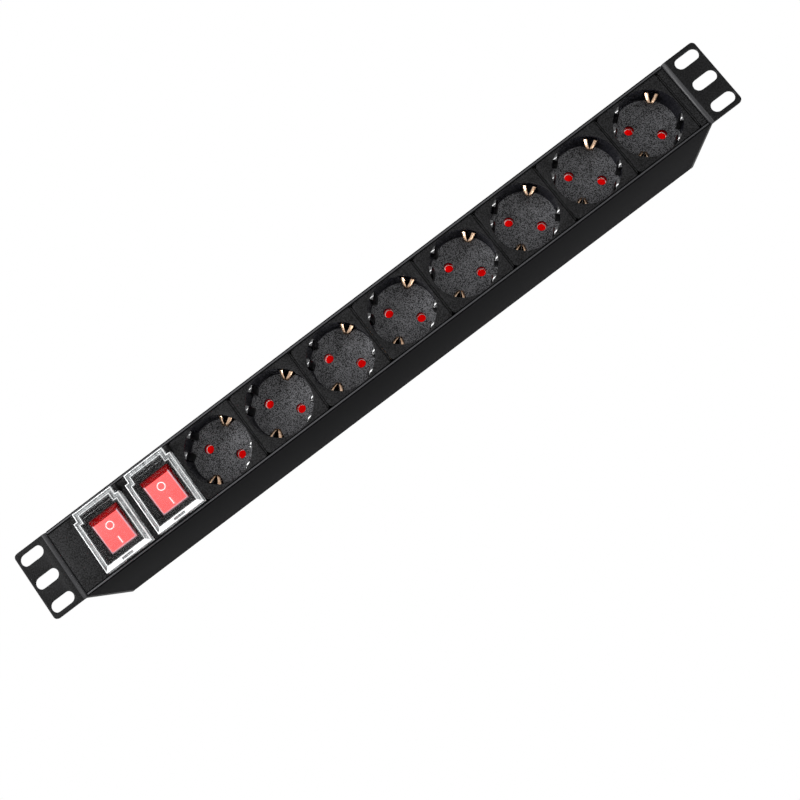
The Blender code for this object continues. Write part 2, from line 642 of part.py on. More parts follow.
def ring_nut_mesh():
    """Knurled ring nut that clamps the breaker's neck to the panel."""
    outline = []
    for tooth in range(2 * NUT_TEETH):
        radius = NUT / 2 - NUT_TOOTH * (tooth % 2)
        turn = math.pi * tooth / NUT_TEETH
        outline.append((radius * math.cos(turn), radius * math.sin(turn)))
    back = FACE_RECESS - FIT
    nut = extrude(outline, "Y", back - NUT_HEIGHT, back)
    bore = extrude(circle(NECK / 2 + FIT, BUTTON_STEPS), "Y", back - NUT_HEIGHT - OVERLAP, back + OVERLAP)
    return cut(nut, bore)


def button_mesh():
    """Domed reset button that slides in the breaker's neck."""
    tip = FACE_RECESS - BUTTON_PROUD
    radius = BUTTON / 2
    sphere = (radius ** 2 + BUTTON_DOME ** 2) / (2 * BUTTON_DOME)
    edge = math.asin(radius / sphere)
    profile = []
    for step in range(ARC_STEPS + 1):
        turn = edge * step / ARC_STEPS
        profile.append((sphere * math.sin(turn), tip + sphere * (1 - math.cos(turn))))
    end = tip + BUTTON_SHANK
    return revolve(profile + [(radius, end), (0.0, end)], BUTTON_STEPS, False)


def gland_body_mesh():
    """Gland body along its own axis: spigot through the end plate, flange on it and a thread for the nut."""
    bore = GLAND_BORE / 2
    flange_top = FIT + GLAND_FLANGE_HEIGHT
    thread_top = flange_top + GLAND_THREAD_HEIGHT
    spigot, spigot_end = GLAND_SPIGOT / 2, -GLAND_SPIGOT_LENGTH
    profile = [(bore, spigot_end), (spigot, spigot_end), (spigot, FIT),
               (GLAND_FLANGE / 2, FIT), (GLAND_FLANGE / 2, flange_top), (GLAND_THREAD / 2, flange_top),
               (GLAND_THREAD / 2, thread_top), (bore, thread_top)]
    return revolve(profile, BUTTON_STEPS, True)


def gland_nut_mesh():
    """Domed nut over the gland's thread."""
    bore = GLAND_BORE / 2
    start = FIT + GLAND_FLANGE_HEIGHT + FIT
    shoulder = start + GLAND_NUT_SKIRT
    rise = (GLAND_NUT - GLAND_NOSE) / 2
    quarter = arc((0.0, 0.0), 1.0, 0, 90, ARC_STEPS)
    dome = [(GLAND_NOSE / 2 + x * rise, shoulder + y * GLAND_DOME) for x, y in quarter]
    ceiling = shoulder + GLAND_DOME - GLAND_ROOF
    cavity = GLAND_THREAD / 2 + FIT
    profile = [(cavity, start), (GLAND_NUT / 2, start)] + dome
    profile += [(bore, shoulder + GLAND_DOME), (bore, ceiling), (cavity, ceiling)]
    return revolve(profile, BUTTON_STEPS, True)


def build_shell(finishes):
    place("housing_profile", housing_mesh(), finishes["anodised"])
    gland_axis = (HALF_DEPTH - GLAND_DEPTH, HALF_HEIGHT)
    gland_hole = circle(GLAND_SPIGOT / 2 + FIT, BUTTON_STEPS, gland_axis)
    left_bracket = cut(bracket_mesh(-1), extrude(gland_hole, "X", -EAR_END, 0.0))
    place("left_bracket", left_bracket, finishes["painted"])
    place("right_bracket", bracket_mesh(1), finishes["painted"])
    gland_place = (-PLATE_OUTER, *gland_axis)
    for name, mesh in (("gland_body", gland_body_mesh()), ("gland_nut", gland_nut_mesh())):
        place(name, mesh, finishes["gland"], None, gland_place, (0.0, 0.0, math.pi / 2))


def build_sockets(faces, first_axes, finishes):
    """Eight inserts with their shutters on each face, and the three rails that rest on their backs."""
    rails = {
        "live_rail": pin_rail_mesh(PIN_OFFSET),
        "neutral_rail": pin_rail_mesh(-PIN_OFFSET),
        "earth_rail": earth_rail_mesh(),
    }
    insert, shutter = socket_mesh(), shutter_mesh()
    for side, face in faces.items():
        for number in range(SOCKET_COUNT):
            axis = (first_axes[side] + number * SOCKET_PITCH, 0.0, 0.0)
            place(f"{side}_socket_{number + 1}", insert, finishes["insert"], face, axis)
            place(f"{side}_shutter_{number + 1}", shutter, finishes["shutter"], face, axis)
        for name, mesh in rails.items():
            place(f"{side}_{name}", mesh, finishes["brass"], face, (first_axes[side], 0.0, 0.0))


def build_front_controls(face, finishes):
    """From the left: blank end panel, two switches with a filler between, and past the sockets a strip."""
    left = -INNER_HALF
    place("end_panel", panel_mesh(END_PANEL_PITCH), finishes["insert"], face,
          (left + END_PANEL_PITCH / 2, 0.0, 0.0))
    rear_bank = left + END_PANEL_PITCH + SWITCH_PITCH / 2
    front_bank = rear_bank + SWITCH_PITCH + FILLER_PITCH
    place("switch_filler", panel_mesh(FILLER_PITCH), finishes["insert"], face,
          ((rear_bank + front_bank) / 2, 0.0, 0.0))
    place("front_end_strip", panel_mesh(FRONT_STRIP_PITCH), finishes["insert"], face,
          (INNER_HALF - FRONT_STRIP_PITCH / 2, 0.0, 0.0))
    frame, rocker, cover = switch_mesh(), rocker_mesh(), cover_mesh()
    for bank, x in (("rear_bank", rear_bank), ("front_bank", front_bank)):
        place(f"{bank}_switch", frame, finishes["insert"], face, (x, 0.0, 0.0))
        place(f"{bank}_rocker", rocker, finishes["rocker"], face, (x, PIVOT_DEPTH, 0.0),
              (ROCKER_TILT, 0.0, 0.0))
        place(f"{bank}_cover", cover, finishes["clear"], face, (x, HINGE_Y, HINGE_Z))


def build_rear_controls(face, finishes):
    """From the left: a strip, past the sockets the breaker panel, and the two breakers in it."""
    place("rear_end_strip", panel_mesh(REAR_STRIP_PITCH), finishes["insert"], face,
          (REAR_STRIP_PITCH / 2 - INNER_HALF, 0.0, 0.0))
    panel_middle = INNER_HALF - BREAKER_PANEL_PITCH / 2
    place("breaker_panel", breaker_panel_mesh(), finishes["insert"], face, (panel_middle, 0.0, 0.0))
    breaker, nut, button = breaker_mesh(), ring_nut_mesh(), button_mesh()
    for bank, offset in breaker_places().items():
        axis = (panel_middle + offset, 0.0, 0.0)
        place(f"{bank}_breaker", breaker, finishes["breaker"], face, axis)
        place(f"{bank}_ring_nut", nut, finishes["gland"], face, axis)
        place(f"{bank}_reset_button", button, finishes["button"], face, axis)


def main():
    clear_scene()
    finishes = {
        "anodised": material("anodised_profile", (0.018, 0.018, 0.019), 0.42, 0.4),
        "painted": material("painted_sheet", (0.022, 0.022, 0.023), 0.55),
        "insert": material("insert_plastic", (0.030, 0.030, 0.031), 0.50),
        "shutter": material("shutter_plastic", (0.62, 0.008, 0.010), 0.35),
        "brass": material("sprung_brass", (0.78, 0.55, 0.30), 0.30, 1.0),
        "rocker": material("rocker_plastic", (0.80, 0.07, 0.07), 0.25),
        "clear": material("clear_cover", (0.90, 0.92, 0.93), 0.08, 0.0, 0.25),
        "breaker": material("breaker_plastic", (0.035, 0.035, 0.036), 0.45),
        "button": material("button_plastic", (0.80, 0.020, 0.006), 0.28),
        "gland": material("gland_plastic", (0.012, 0.012, 0.012), 0.40),
    }
    faces = {
        "front": face_frame("front_face", -HALF_DEPTH, 0.0),
        "rear": face_frame("rear_face", HALF_DEPTH, math.pi),
    }
    first_axes = {
        "front": FRONT_CONTROLS - INNER_HALF + SOCKET_PITCH / 2,
        "rear": REAR_STRIP_PITCH - INNER_HALF + SOCKET_PITCH / 2,
    }
    build_shell(finishes)
    build_sockets(faces, first_axes, finishes)
    build_front_controls(faces["front"], finishes)
    build_rear_controls(faces["rear"], finishes)
    bpy.context.view_layer.update()


main()
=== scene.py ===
# %% [markdown]
# # A rack power strip, dressed over its frame
#
# The frame is the imported CAD model: a long aluminium profile with a row of earthed sockets in its front and
# another in its rear. This lesson keeps every piece where the frame has it and gives it the edges, the
# finer shapes and the finishes that the real one shows. First the frame is loaded and its box is kept.

# %% Load the frame
import json
import math

import bmesh
import bpy
from mathutils import Matrix, Vector


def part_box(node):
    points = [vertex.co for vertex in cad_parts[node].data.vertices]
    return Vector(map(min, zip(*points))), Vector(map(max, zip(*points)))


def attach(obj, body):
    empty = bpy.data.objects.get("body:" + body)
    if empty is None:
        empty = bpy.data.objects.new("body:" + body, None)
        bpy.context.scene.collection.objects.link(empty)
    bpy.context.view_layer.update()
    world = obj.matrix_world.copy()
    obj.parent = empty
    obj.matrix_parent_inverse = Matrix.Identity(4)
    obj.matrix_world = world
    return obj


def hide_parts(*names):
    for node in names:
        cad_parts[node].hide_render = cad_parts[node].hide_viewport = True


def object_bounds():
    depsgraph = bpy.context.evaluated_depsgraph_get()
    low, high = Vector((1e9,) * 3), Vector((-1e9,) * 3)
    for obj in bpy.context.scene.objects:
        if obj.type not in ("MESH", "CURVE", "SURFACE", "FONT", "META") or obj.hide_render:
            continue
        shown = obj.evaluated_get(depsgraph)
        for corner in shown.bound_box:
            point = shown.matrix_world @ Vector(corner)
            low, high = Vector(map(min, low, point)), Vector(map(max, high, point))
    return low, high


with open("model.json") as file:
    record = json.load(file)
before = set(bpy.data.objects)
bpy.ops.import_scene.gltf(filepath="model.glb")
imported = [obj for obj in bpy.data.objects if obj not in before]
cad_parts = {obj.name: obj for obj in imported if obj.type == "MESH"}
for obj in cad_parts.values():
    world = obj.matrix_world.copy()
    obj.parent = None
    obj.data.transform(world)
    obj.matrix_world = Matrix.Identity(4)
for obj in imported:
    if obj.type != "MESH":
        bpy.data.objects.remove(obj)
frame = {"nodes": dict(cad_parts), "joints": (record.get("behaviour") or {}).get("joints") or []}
cad_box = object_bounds()
MM = 0.001

# %% [markdown]
# Both faces of the strip are laid out in the same way, as someone who looks at that face sees it: x to the
# right, z up from half height, and y into the strip from the rim, all in millimetres. A matrix for each
# face carries such a drawing to its place, so a piece is drawn once and serves the front and the rear.

# %% Frames of the two faces
profile_low, profile_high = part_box("housing_profile")
MIDDLE = (profile_low[2] + profile_high[2]) / 2
SCALE = Matrix.Scale(MM, 4)
STILL = Matrix.Identity(4)
FACES = {
    "front": Matrix.Translation((0, profile_low[1], MIDDLE)) @ SCALE,
    "rear": Matrix.Translation((0, profile_high[1], MIDDLE)) @ Matrix.Rotation(math.pi, 4, "Z") @ SCALE,
}
BANKS = ("front_bank", "rear_bank")


def across(x):
    """Matrix that shifts a drawing along the strip."""
    return Matrix.Translation((x, 0, 0))


def axis_of(node, face):
    """A node's middle along the strip, in a face's own millimetres."""
    low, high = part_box(node)
    return (FACES[face].inverted() @ Vector(((low[0] + high[0]) / 2, 0, 0))).x


AXES = {side: [axis_of(f"{side}_socket_{number}", side) for number in range(1, 9)] for side in FACES}
print("first socket axes:", [round(axes[0], 2) for axes in AXES.values()])

# %% [markdown]
# ## Camera, floor and light
#
# The strip is seen from a little below its underside, turned so that it runs from the lower left to the
# upper right. The place, the turn and the lens come from the corners of the ears and of the long side,
# fitted to a 19-inch rack.

# %% Camera


def in_scene(name, data):
    """A new object that is linked to the scene."""
    made = bpy.data.objects.new(name, data)
    bpy.context.scene.collection.objects.link(made)
    return made


camera = bpy.data.cameras.new("camera")
camera.lens = 57.59
camera.shift_x = 0.0339
camera.shift_y = -0.0567
camera.clip_start = 0.01
viewer = in_scene("camera", camera)
viewer.location = (-0.002195, -0.750003, -0.119434)
viewer.rotation_euler = [math.radians(turn) for turn in (103.105, 36.342, 8.426)]
bpy.context.scene.camera = viewer
bpy.context.scene.view_settings.view_transform = "Standard"
print("camera at", [round(value, 3) for value in viewer.location])

# %% [markdown]
# One small function adds a node with its settings and its links, another turns a colour as a painter writes
# it, sRGB hex, into the linear numbers that a shader reads, and a third makes a material with plain values.
# Every finish below starts with that one.

# %% Node and colour helpers


def linear(code):
    """Linear RGBA of an sRGB hex colour."""
    parts = [int(code[start:start + 2], 16) / 255 for start in (1, 3, 5)]
    values = [((part + 0.055) / 1.055) ** 2.4 if part > 0.04045 else part / 12.92 for part in parts]
    return (*values, 1.0)


def add(tree, kind, inputs=None, **settings):
    """One node in a tree: settings are its properties, inputs are values or the sockets that feed it."""
    made = tree.nodes.new(kind)
    for key, value in settings.items():
        setattr(made, key, value)
    for key, value in (inputs or {}).items():
        if isinstance(value, bpy.types.NodeSocket):
            tree.links.new(value, made.inputs[key])
        else:
            made.inputs[key].default_value = value
    return made


def finish(name, **values):
    """A material with these values on its Principled shader's sockets; _ stands for the space in a name."""
    made = bpy.data.materials.new(name)
    made.use_nodes = True
    shader = made.node_tree.nodes["Principled BSDF"]
    for key, value in values.items():
        shader.inputs[key.replace("_", " ")].default_value = value
    return made


# %% [markdown]
# The strip stands on a pale floor, but the main camera looks up from below it. So the floor is one-sided,
# like a sheet of back-painted film: from above it is pale and catches the shadow, from below it isn't
# there, and lamps shine through it from below, also in the glints of polished plastic. Away from the strip
# it fades into the white behind it.

# %% Floor
FLOOR_REACH, FADE_START, FADE_END = 2.5, 0.35, 0.85
FLOOR_LEVEL = cad_box[0][2] - 0.2 * MM
floor_finish = finish("pale_floor", Base_Color=linear("#E9E9E7"), Roughness=0.7, Specular_IOR_Level=0.1)
tree = floor_finish.node_tree
path = add(tree, "ShaderNodeLightPath").outputs
coords = add(tree, "ShaderNodeTexCoord").outputs["Object"]
away = add(tree, "ShaderNodeVectorMath", {0: coords}, operation="LENGTH").outputs["Value"]
faded = add(tree, "ShaderNodeMapRange", {"Value": away, "From Min": FADE_START,
                                         "From Max": FADE_END}).outputs[0]
gone = add(tree, "ShaderNodeNewGeometry").outputs["Backfacing"]
for reason in (path["Is Shadow Ray"], path["Is Glossy Ray"], faded):
    gone = add(tree, "ShaderNodeMath", {0: gone, 1: reason}, operation="MAXIMUM").outputs[0]
paint = tree.nodes["Principled BSDF"].outputs[0]
clear = add(tree, "ShaderNodeBsdfTransparent").outputs[0]
mixed = add(tree, "ShaderNodeMixShader", {0: gone, 1: paint, 2: clear}).outputs[0]
tree.links.new(mixed, tree.nodes["Material Output"].inputs["Surface"])

sheet = bmesh.new()
bmesh.ops.create_grid(sheet, x_segments=1, y_segments=1, size=FLOOR_REACH)
floor_mesh = bpy.data.meshes.new("floor")
sheet.to_mesh(floor_mesh)
sheet.free()
floor_mesh.transform(Matrix.Translation((0, 0, FLOOR_LEVEL)))
floor_mesh.materials.append(floor_finish)
floor = in_scene("floor", floor_mesh)
print("floor at", round(FLOOR_LEVEL, 4))

# %% [markdown]
# The world is white for whatever looks at it, also in mirrors and through clear plastic, and gives only a
# part of that as light.

# %% World
AMBIENT = 0.28
world = bpy.data.worlds.new("studio")
world.use_nodes = True
bpy.context.scene.world = world
tree = world.node_tree
path = add(tree, "ShaderNodeLightPath").outputs
seen = path["Is Camera Ray"]
for look in (path["Is Glossy Ray"], path["Is Transmission Ray"]):
    seen = add(tree, "ShaderNodeMath", {0: seen, 1: look}, operation="MAXIMUM").outputs[0]
strength = add(tree, "ShaderNodeMapRange", {"Value": seen, "To Min": AMBIENT, "To Max": 1.0}).outputs[0]
backdrop = tree.nodes["Background"]
backdrop.inputs["Color"].default_value = (1, 1, 1, 1)
tree.links.new(strength, backdrop.inputs["Strength"])
print("part of the white that gives light:", AMBIENT)

# %% [markdown]
# Black plastic shows its shape by what it mirrors, so the lamps are soft boxes small enough to leave clear
# glints. Two long ones lie along the strip, a key above it and a low one below, so that the same edge
# glints in every one of the eight cups. A side lamp draws the bend of the far ear and the left edge of
# every insert. One lamp lies under the strip, and one above it and two behind it serve whoever walks round
# it. Each has its place in metres, its size and its power.

# %% Lamps
LAMPS = {
    "key": ((-0.50, -1.05, 0.83), (1.00, 0.15), 8.0),
    "low": ((0.60, -1.05, -0.30), (0.95, 0.07), 3.2),
    "under": ((0.10, -0.20, -1.20), (0.80, 0.50), 6.0),
    "side": ((-0.95, -0.65, 0.25), (0.30, 0.50), 11.0),
    "top": ((0.00, 0.10, 1.30), (0.90, 0.60), 9.0),
    "rear_left": ((-0.75, 1.05, 0.70), (0.60, 0.40), 9.0),
    "rear_right": ((0.70, 1.00, 0.55), (0.60, 0.40), 8.0),
}
for name, (place, size, power) in LAMPS.items():
    lamp = bpy.data.lights.new(name, "AREA")
    lamp.shape = "RECTANGLE"
    lamp.size, lamp.size_y = size
    lamp.energy = power
    holder = in_scene(name, lamp)
    holder.location = place
    aim = Vector((0, 0, MIDDLE)) - Vector(place)
    holder.rotation_euler = aim.to_track_quat("-Z", "Y").to_euler()
print("lamps:", ", ".join(LAMPS))

# %% [markdown]
# ## Finishes
#
# Most of the strip's finishes have a fine grain: drawing lines, pebbles, streaks or flow marks. One noise
# of the right size gives such a grain, and the same noise shifts the colour, the roughness and the relief
# together, as a real grain does. So one recipe serves them all, and each finish says only how large its
# grain is, what it shifts and how far.

# %% Recipe of a grained finish


def toned(tree, noise, stops, tones):
    """Colours a material by a noise, from one tone to the other."""
    ramp = add(tree, "ShaderNodeValToRGB", {"Fac": noise})
    for element, stop, code in zip(ramp.color_ramp.elements, stops, tones):
        element.position = stop
        element.color = linear(code)
    tree.links.new(ramp.outputs[0], tree.nodes["Principled BSDF"].inputs["Base Color"])


def grained(name, grain, detail, stretch=None, tones=(), stops=(0.0, 1.0), rough=None, relief=None, **values):
    """A finish with a grain of this size in metres; relief is its strength and its depth in metres."""
    made = finish(name, **values)
    tree = made.node_tree
    shader = tree.nodes["Principled BSDF"]
    coords = add(tree, "ShaderNodeTexCoord").outputs["Object"]
    if stretch:
        coords = add(tree, "ShaderNodeMapping", {"Vector": coords, "Scale": stretch}).outputs[0]
    noise = add(tree, "ShaderNodeTexNoise", {"Vector": coords, "Scale": 1 / grain,
                                             "Detail": detail}).outputs["Fac"]
    if tones:
        toned(tree, noise, stops, tones)
    if rough:
        spread = add(tree, "ShaderNodeMapRange", {"Value": noise, "To Min": rough[0], "To Max": rough[1]})
        tree.links.new(spread.outputs[0], shader.inputs["Roughness"])
    if relief:
        bump = add(tree, "ShaderNodeBump", {"Height": noise, "Strength": relief[0], "Distance": relief[1]})
        tree.links.new(bump.outputs[0], shader.inputs["Normal"])
    return made


# %% [markdown]
# The profile is extruded aluminium, anodised black: a satin skin with faint drawing lines along its length,
# from noise that is stretched along the strip. The dyed skin swallows light, so that even at a flat angle
# it hardly mirrors. The flat of its rim is painted paler, as a highlight line, and the chamfers beside it
# are smoother and painted the darkest, as shade.

# %% Black anodised aluminium
LINE_SPACING = 0.5 * MM
anodised = grained("black_anodised_aluminium", LINE_SPACING, 2.0, stretch=(0.02, 1.0, 1.0),
                   tones=("#1D1D1E", "#262627"), rough=(0.55, 0.70), relief=(0.08, 0.02 * MM),
                   Specular_IOR_Level=0.002)
# painted highlight: the rim's flat is paler than the skin, standing in for the light line along it
rim_painted_highlight = finish("anodised_rim_painted_highlight", Base_Color=linear("#444446"), Roughness=0.40,
                    Specular_IOR_Level=0.04)
# painted shade: the chamfers are darker than the skin
chamfer_painted_shade = finish("anodised_chamfer_painted_shade", Base_Color=linear("#060607"), Roughness=0.20,
                      Specular_IOR_Level=0.02)
print("drawing lines every", LINE_SPACING / MM, "mm")

# %% [markdown]
# The end brackets are steel sheet with a powder coat, which dries to a fine pebble. It is drawn coarser than
# a real one, so that it still shows in the picture. Round the bend the coat is drawn smooth and painted a
# lighter grey, a painted highlight, so the bend shines.

# %% Powder-coated steel
PEBBLE = 0.8 * MM
powder = grained("black_powder_coat", PEBBLE, 3.0, tones=("#080808", "#212122"), stops=(0.35, 0.70),
                 rough=(0.42, 0.62), relief=(0.35, 0.08 * MM), Specular_IOR_Level=0.06)
# smooth coat of the bend, painted lighter than the pebbled coat as a highlight
bend_powder_painted_highlight = finish("smooth_powder_painted_highlight", Base_Color=linear("#2A2A2C"), Roughness=0.38,
                      Specular_IOR_Level=0.30)
print("pebbles of", PEBBLE / MM, "mm")

# %% [markdown]
# The snap-in pieces are moulded from black polyamide. Their mould was spark-eroded, which leaves a dull
# skin like very fine leather on the faces, and a coarser sparkling one in the floor of each cup. Such a
# skin is pitted, and the pits gather in faint clouds. So this recipe has a second, larger noise, and two
# calls make the two grains.

# %% Eroded polyamide


def eroded_polyamide(name, grain, tones, gloss, depth):
    """Moulded black plastic whose mould was spark-eroded to a grain of this size in metres."""
    made = finish(name, Specular_IOR_Level=gloss)
    tree = made.node_tree
    shader = tree.nodes["Principled BSDF"]
    coords = add(tree, "ShaderNodeTexCoord").outputs["Object"]
    pits = add(tree, "ShaderNodeTexNoise", {"Vector": coords, "Scale": 1 / grain, "Detail": 4.0,
                                            "Roughness": 0.65}).outputs["Fac"]
    cloud = add(tree, "ShaderNodeTexNoise", {"Vector": coords, "Scale": 1 / (12 * grain),
                                             "Detail": 1.0}).outputs["Fac"]
    both = add(tree, "ShaderNodeMath", {0: cloud, 1: 0.10, 2: pits}, operation="MULTIPLY_ADD").outputs[0]
    toned(tree, both, (0.48, 0.62), tones)
    rough = add(tree, "ShaderNodeMapRange", {"Value": both, "From Min": 0.4, "From Max": 0.9, "To Min": 0.62,
                                             "To Max": 0.42}).outputs[0]
    tree.links.new(rough, shader.inputs["Roughness"])
    relief = add(tree, "ShaderNodeBump", {"Height": pits, "Strength": 0.5, "Distance": depth}).outputs[0]
    tree.links.new(relief, shader.inputs["Normal"])
    return made


face_plastic = eroded_polyamide("eroded_polyamide", 0.7 * MM, ("#090909", "#272728"), 0.05, 0.08 * MM)
floor_plastic = eroded_polyamide("coarse_eroded_polyamide", 0.55 * MM, ("#020202", "#707073"), 0.10,
                                 0.10 * MM)
print("eroded:", face_plastic.name, "and", floor_plastic.name)

# %% [markdown]
# The mould was not eroded where a plug slides in. The walls of each cup stay polished, with soft flow
# marks. The tops of its ribs are glossy and painted a lighter grey, part of their glint painted in, and
# the ribs' sides are dull and painted near black, as shade.

# %% Polished polyamide
wall_plastic = grained("polished_polyamide", 3 * MM, 2.0, rough=(0.10, 0.22), relief=(0.05, 0.05 * MM),
                       Base_Color=linear("#131318"), Specular_IOR_Level=0.15)
# rib tops: glossy, and painted lighter as part of their glint
rib_top_painted_glint = finish("glossy_polyamide_painted_glint", Base_Color=linear("#2A2A2C"), Roughness=0.10, Coat_Weight=1.0)
# rib sides and the face groove: painted near black as shade
rib_side_painted_shade = finish("dark_polyamide_painted_shade", Base_Color=linear("#070708"), Roughness=0.35, Specular_IOR_Level=0.05)
print("polished:", wall_plastic.name, "and", rib_top_painted_glint.name)

# %% [markdown]
# The earth clips and the rails are spring brass, rolled and stamped: a warm metal with lighter and darker
# streaks, which run along the clips.

# %% Spring brass
STREAK = 0.5 * MM
brass = grained("spring_brass", STREAK, 3.0, stretch=(1.0, 0.15, 1.0), tones=("#A27A58", "#D8BCA4"),
                stops=(0.30, 0.65), rough=(0.12, 0.34), Metallic=1.0)
print("streaks of", STREAK / MM, "mm")

# %% [markdown]
# The red pieces are coloured plastics. The shutters and the reset buttons are opaque. The floor of each
# shutter's dish is a brighter red copy that glows a little, painted light, so that it shows deep in its
# hole. A rocker is red polycarbonate: its face is a lighter red copy that glows, painted light, its sides
# stay a deep red, painted shade, and its edges are pale pink, a painted highlight. The grey and black
# plastics of the breakers and the gland, and the screws' black zinc, are made in the same way.

# %% Coloured plastics
FLOW_MARK = 2 * MM


def coloured_plastic(name, code, worn, rough, gloss, **glow):
    """Moulded plastic with soft flow marks in its colour."""
    return grained(name, FLOW_MARK, 2.0, tones=(worn, code), stops=(0.3, 0.7), relief=(0.04, 0.05 * MM),
                   Roughness=rough, Specular_IOR_Level=gloss, **glow)


shutter_plastic = coloured_plastic("red_abs_shutter", "#B00000", "#9C0000", 0.30, 0.05)
# dish floor: a brighter red that glows, painted light
shutter_dish_painted_glow = coloured_plastic("red_abs_painted_glow", "#FF0000", "#F40000", 0.30, 0.03,
                                 Emission_Color=linear("#FF0000"), Emission_Strength=0.27)
# dish slope: almost white, a painted highlight
shutter_slope_painted_highlight = coloured_plastic("red_abs_painted_highlight", "#FFF8F6", "#FFF0EC", 0.15, 1.0)
button_plastic = coloured_plastic("red_abs_button", "#F52800", "#E81C00", 0.20, 0.40)
# rocker: sides a darker red (painted shade), face a lighter glowing red (painted light), edges pale pink
# (painted highlight)
rocker_side_painted_shade = coloured_plastic("red_polycarbonate", "#7C0003", "#640002", 0.30, 0.04)
rocker_face_painted_glow = coloured_plastic("red_polycarbonate_painted_glow", "#EE5050", "#E44646", 0.30, 0.20,
                               Emission_Color=linear("#FF6060"), Emission_Strength=0.40)
rocker_edge_painted_highlight = coloured_plastic("red_polycarbonate_painted_highlight", "#C4A0A8", "#B0909A", 0.25, 0.20)
print_white = coloured_plastic("white_pad_print", "#FAF0F0", "#F4E8E8", 0.45, 0.20)
collar_plastic = coloured_plastic("grey_polyamide", "#3A3D3F", "#303234", 0.30, 0.35)
nylon = coloured_plastic("black_nylon", "#161617", "#0E0E0F", 0.42, 0.20)
steel_black = coloured_plastic("black_zinc_plate", "#1B1B1D", "#121213", 0.30, 0.40)
print("flow marks of", FLOW_MARK / MM, "mm")

# %% [markdown]
# The flip covers are clear polycarbonate. The window is polished, so one looks straight through it. The
# walls are painted a whitish, streaked sheen and the edges an almost white highlight, both standing in for
# light that the clear plastic would show. Each of the three is a plastic mixed with plain transparency, from
# much of it to very little.

# %% Clear polycarbonate


def clear_polycarbonate(name, code, clearness, presence, gloss):
    """Plastic that is this much there, from its faintest to its strongest streak."""
    made = finish(name, Base_Color=linear(code), Roughness=0.06, IOR=1.58, Transmission_Weight=clearness,
                  Specular_IOR_Level=gloss)
    tree = made.node_tree
    coords = add(tree, "ShaderNodeTexCoord").outputs["Object"]
    stretch = add(tree, "ShaderNodeMapping", {"Vector": coords, "Scale": (1.0, 0.3, 0.12)}).outputs[0]
    flow = add(tree, "ShaderNodeTexNoise", {"Vector": stretch, "Scale": 1 / (0.9 * MM), "Detail": 2.0})
    there = add(tree, "ShaderNodeMapRange", {"Value": flow.outputs["Fac"], "From Min": 0.35, "From Max": 0.65,
                                             "To Min": presence[0], "To Max": presence[1]}).outputs[0]
    plastic = tree.nodes["Principled BSDF"].outputs[0]
    clear = add(tree, "ShaderNodeBsdfTransparent").outputs[0]
    mixed = add(tree, "ShaderNodeMixShader", {0: there, 1: clear, 2: plastic}).outputs[0]
    tree.links.new(mixed, tree.nodes["Material Output"].inputs["Surface"])
    return made


clear_window = clear_polycarbonate("clear_polycarbonate", "#F6F8F8", 1.0, (0.08, 0.12), 0.5)
# walls: a whitish, streaked painted sheen
clear_wall_painted_sheen = clear_polycarbonate("whitish_polycarbonate_painted_sheen", "#DDE1E3", 0.2, (0.06, 0.36), 0.10)
# edges: a near-white painted highlight
clear_edge_painted_highlight = clear_polycarbonate("white_polycarbonate_painted_highlight", "#F7F9FA", 0.0, (0.75, 0.95), 0.5)
print("finishes:", len(bpy.data.materials))

# %% [markdown]
# ## Shapes
#
# A few helpers draw the shapes. A drawing is made of loops of points with faces from each loop to the next.
# An outline pulled along an axis has two loops, and a profile turned about y has one for each of its
# points.

# %% Drawing helpers
MATERIAL_SLOTS = 5


def as_mesh(bm, name="drawn"):
    """The mesh of a drawing, which is used up; empty slots let a bevel or a boolean number the faces."""
    mesh = bpy.data.meshes.new(name)
    for slot in range(MATERIAL_SLOTS):
        mesh.materials.append(None)
    bm.to_mesh(mesh)
    bm.free()
    return mesh


def sealed(bm):
    """The mesh of a closed drawing, with its seams joined and its faces turned outwards."""
    bmesh.ops.remove_doubles(bm, verts=bm.verts, dist=0.0001)
    bmesh.ops.recalc_face_normals(bm, faces=bm.faces)
    return as_mesh(bm)


def loop(bm, points):
    return [bm.verts.new(point) for point in points]


def bridge(bm, first, second, number=0, skip=()):
    """Faces from one loop to the next, in one material; a loop of one point makes a fan."""
    count = max(len(first), len(second))
    made = []
    for index in range(count):
        if index in skip:
            continue
        after = (index + 1) % count
        corners = (first[index % len(first)], first[after % len(first)],
                   second[after % len(second)], second[index % len(second)])
        made.append(bm.faces.new(dict.fromkeys(corners)))
        made[-1].material_index = number
    return made


def pulled(outline, axis, start, end):
    """Mesh of an outline square to an axis, pulled from start to end along it."""
    place = {"X": lambda a, b, d: (d, a, b), "Y": lambda a, b, d: (a, d, b),
             "Z": lambda a, b, d: (a, b, d)}[axis]
    bm = bmesh.new()
    near, far = (loop(bm, [place(a, b, depth) for a, b in outline]) for depth in (start, end))
    bm.faces.new(near)
    bm.faces.new(far)
    bridge(bm, near, far)
    return sealed(bm)


def box(x, y, z):
    return pulled([(x[0], z[0]), (x[1], z[0]), (x[1], z[1]), (x[0], z[1])], "Y", y[0], y[1])


def arc(centre, radius, start, end, steps):
    turns = [math.radians(start + (end - start) * step / steps) for step in range(steps + 1)]
    return [(centre[0] + radius * math.cos(turn), centre[1] + radius * math.sin(turn)) for turn in turns]


def circle(centre, radius, steps):
    return arc(centre, radius, 0, 360, steps)[:-1]


def turned(profile, steps, closed):
    """Mesh of (radius, depth) points turned about y; a closed profile leaves a bore."""
    bm = bmesh.new()
    rings = []
    for radius, depth in profile:
        points = circle((0, 0), radius, steps) if radius > 0 else [(0, 0)]
        rings.append(loop(bm, [(x, depth, z) for x, z in points]))
    for first, second in zip(rings, rings[1:] + rings[:1] if closed else rings[1:]):
        bridge(bm, first, second)
    return sealed(bm)


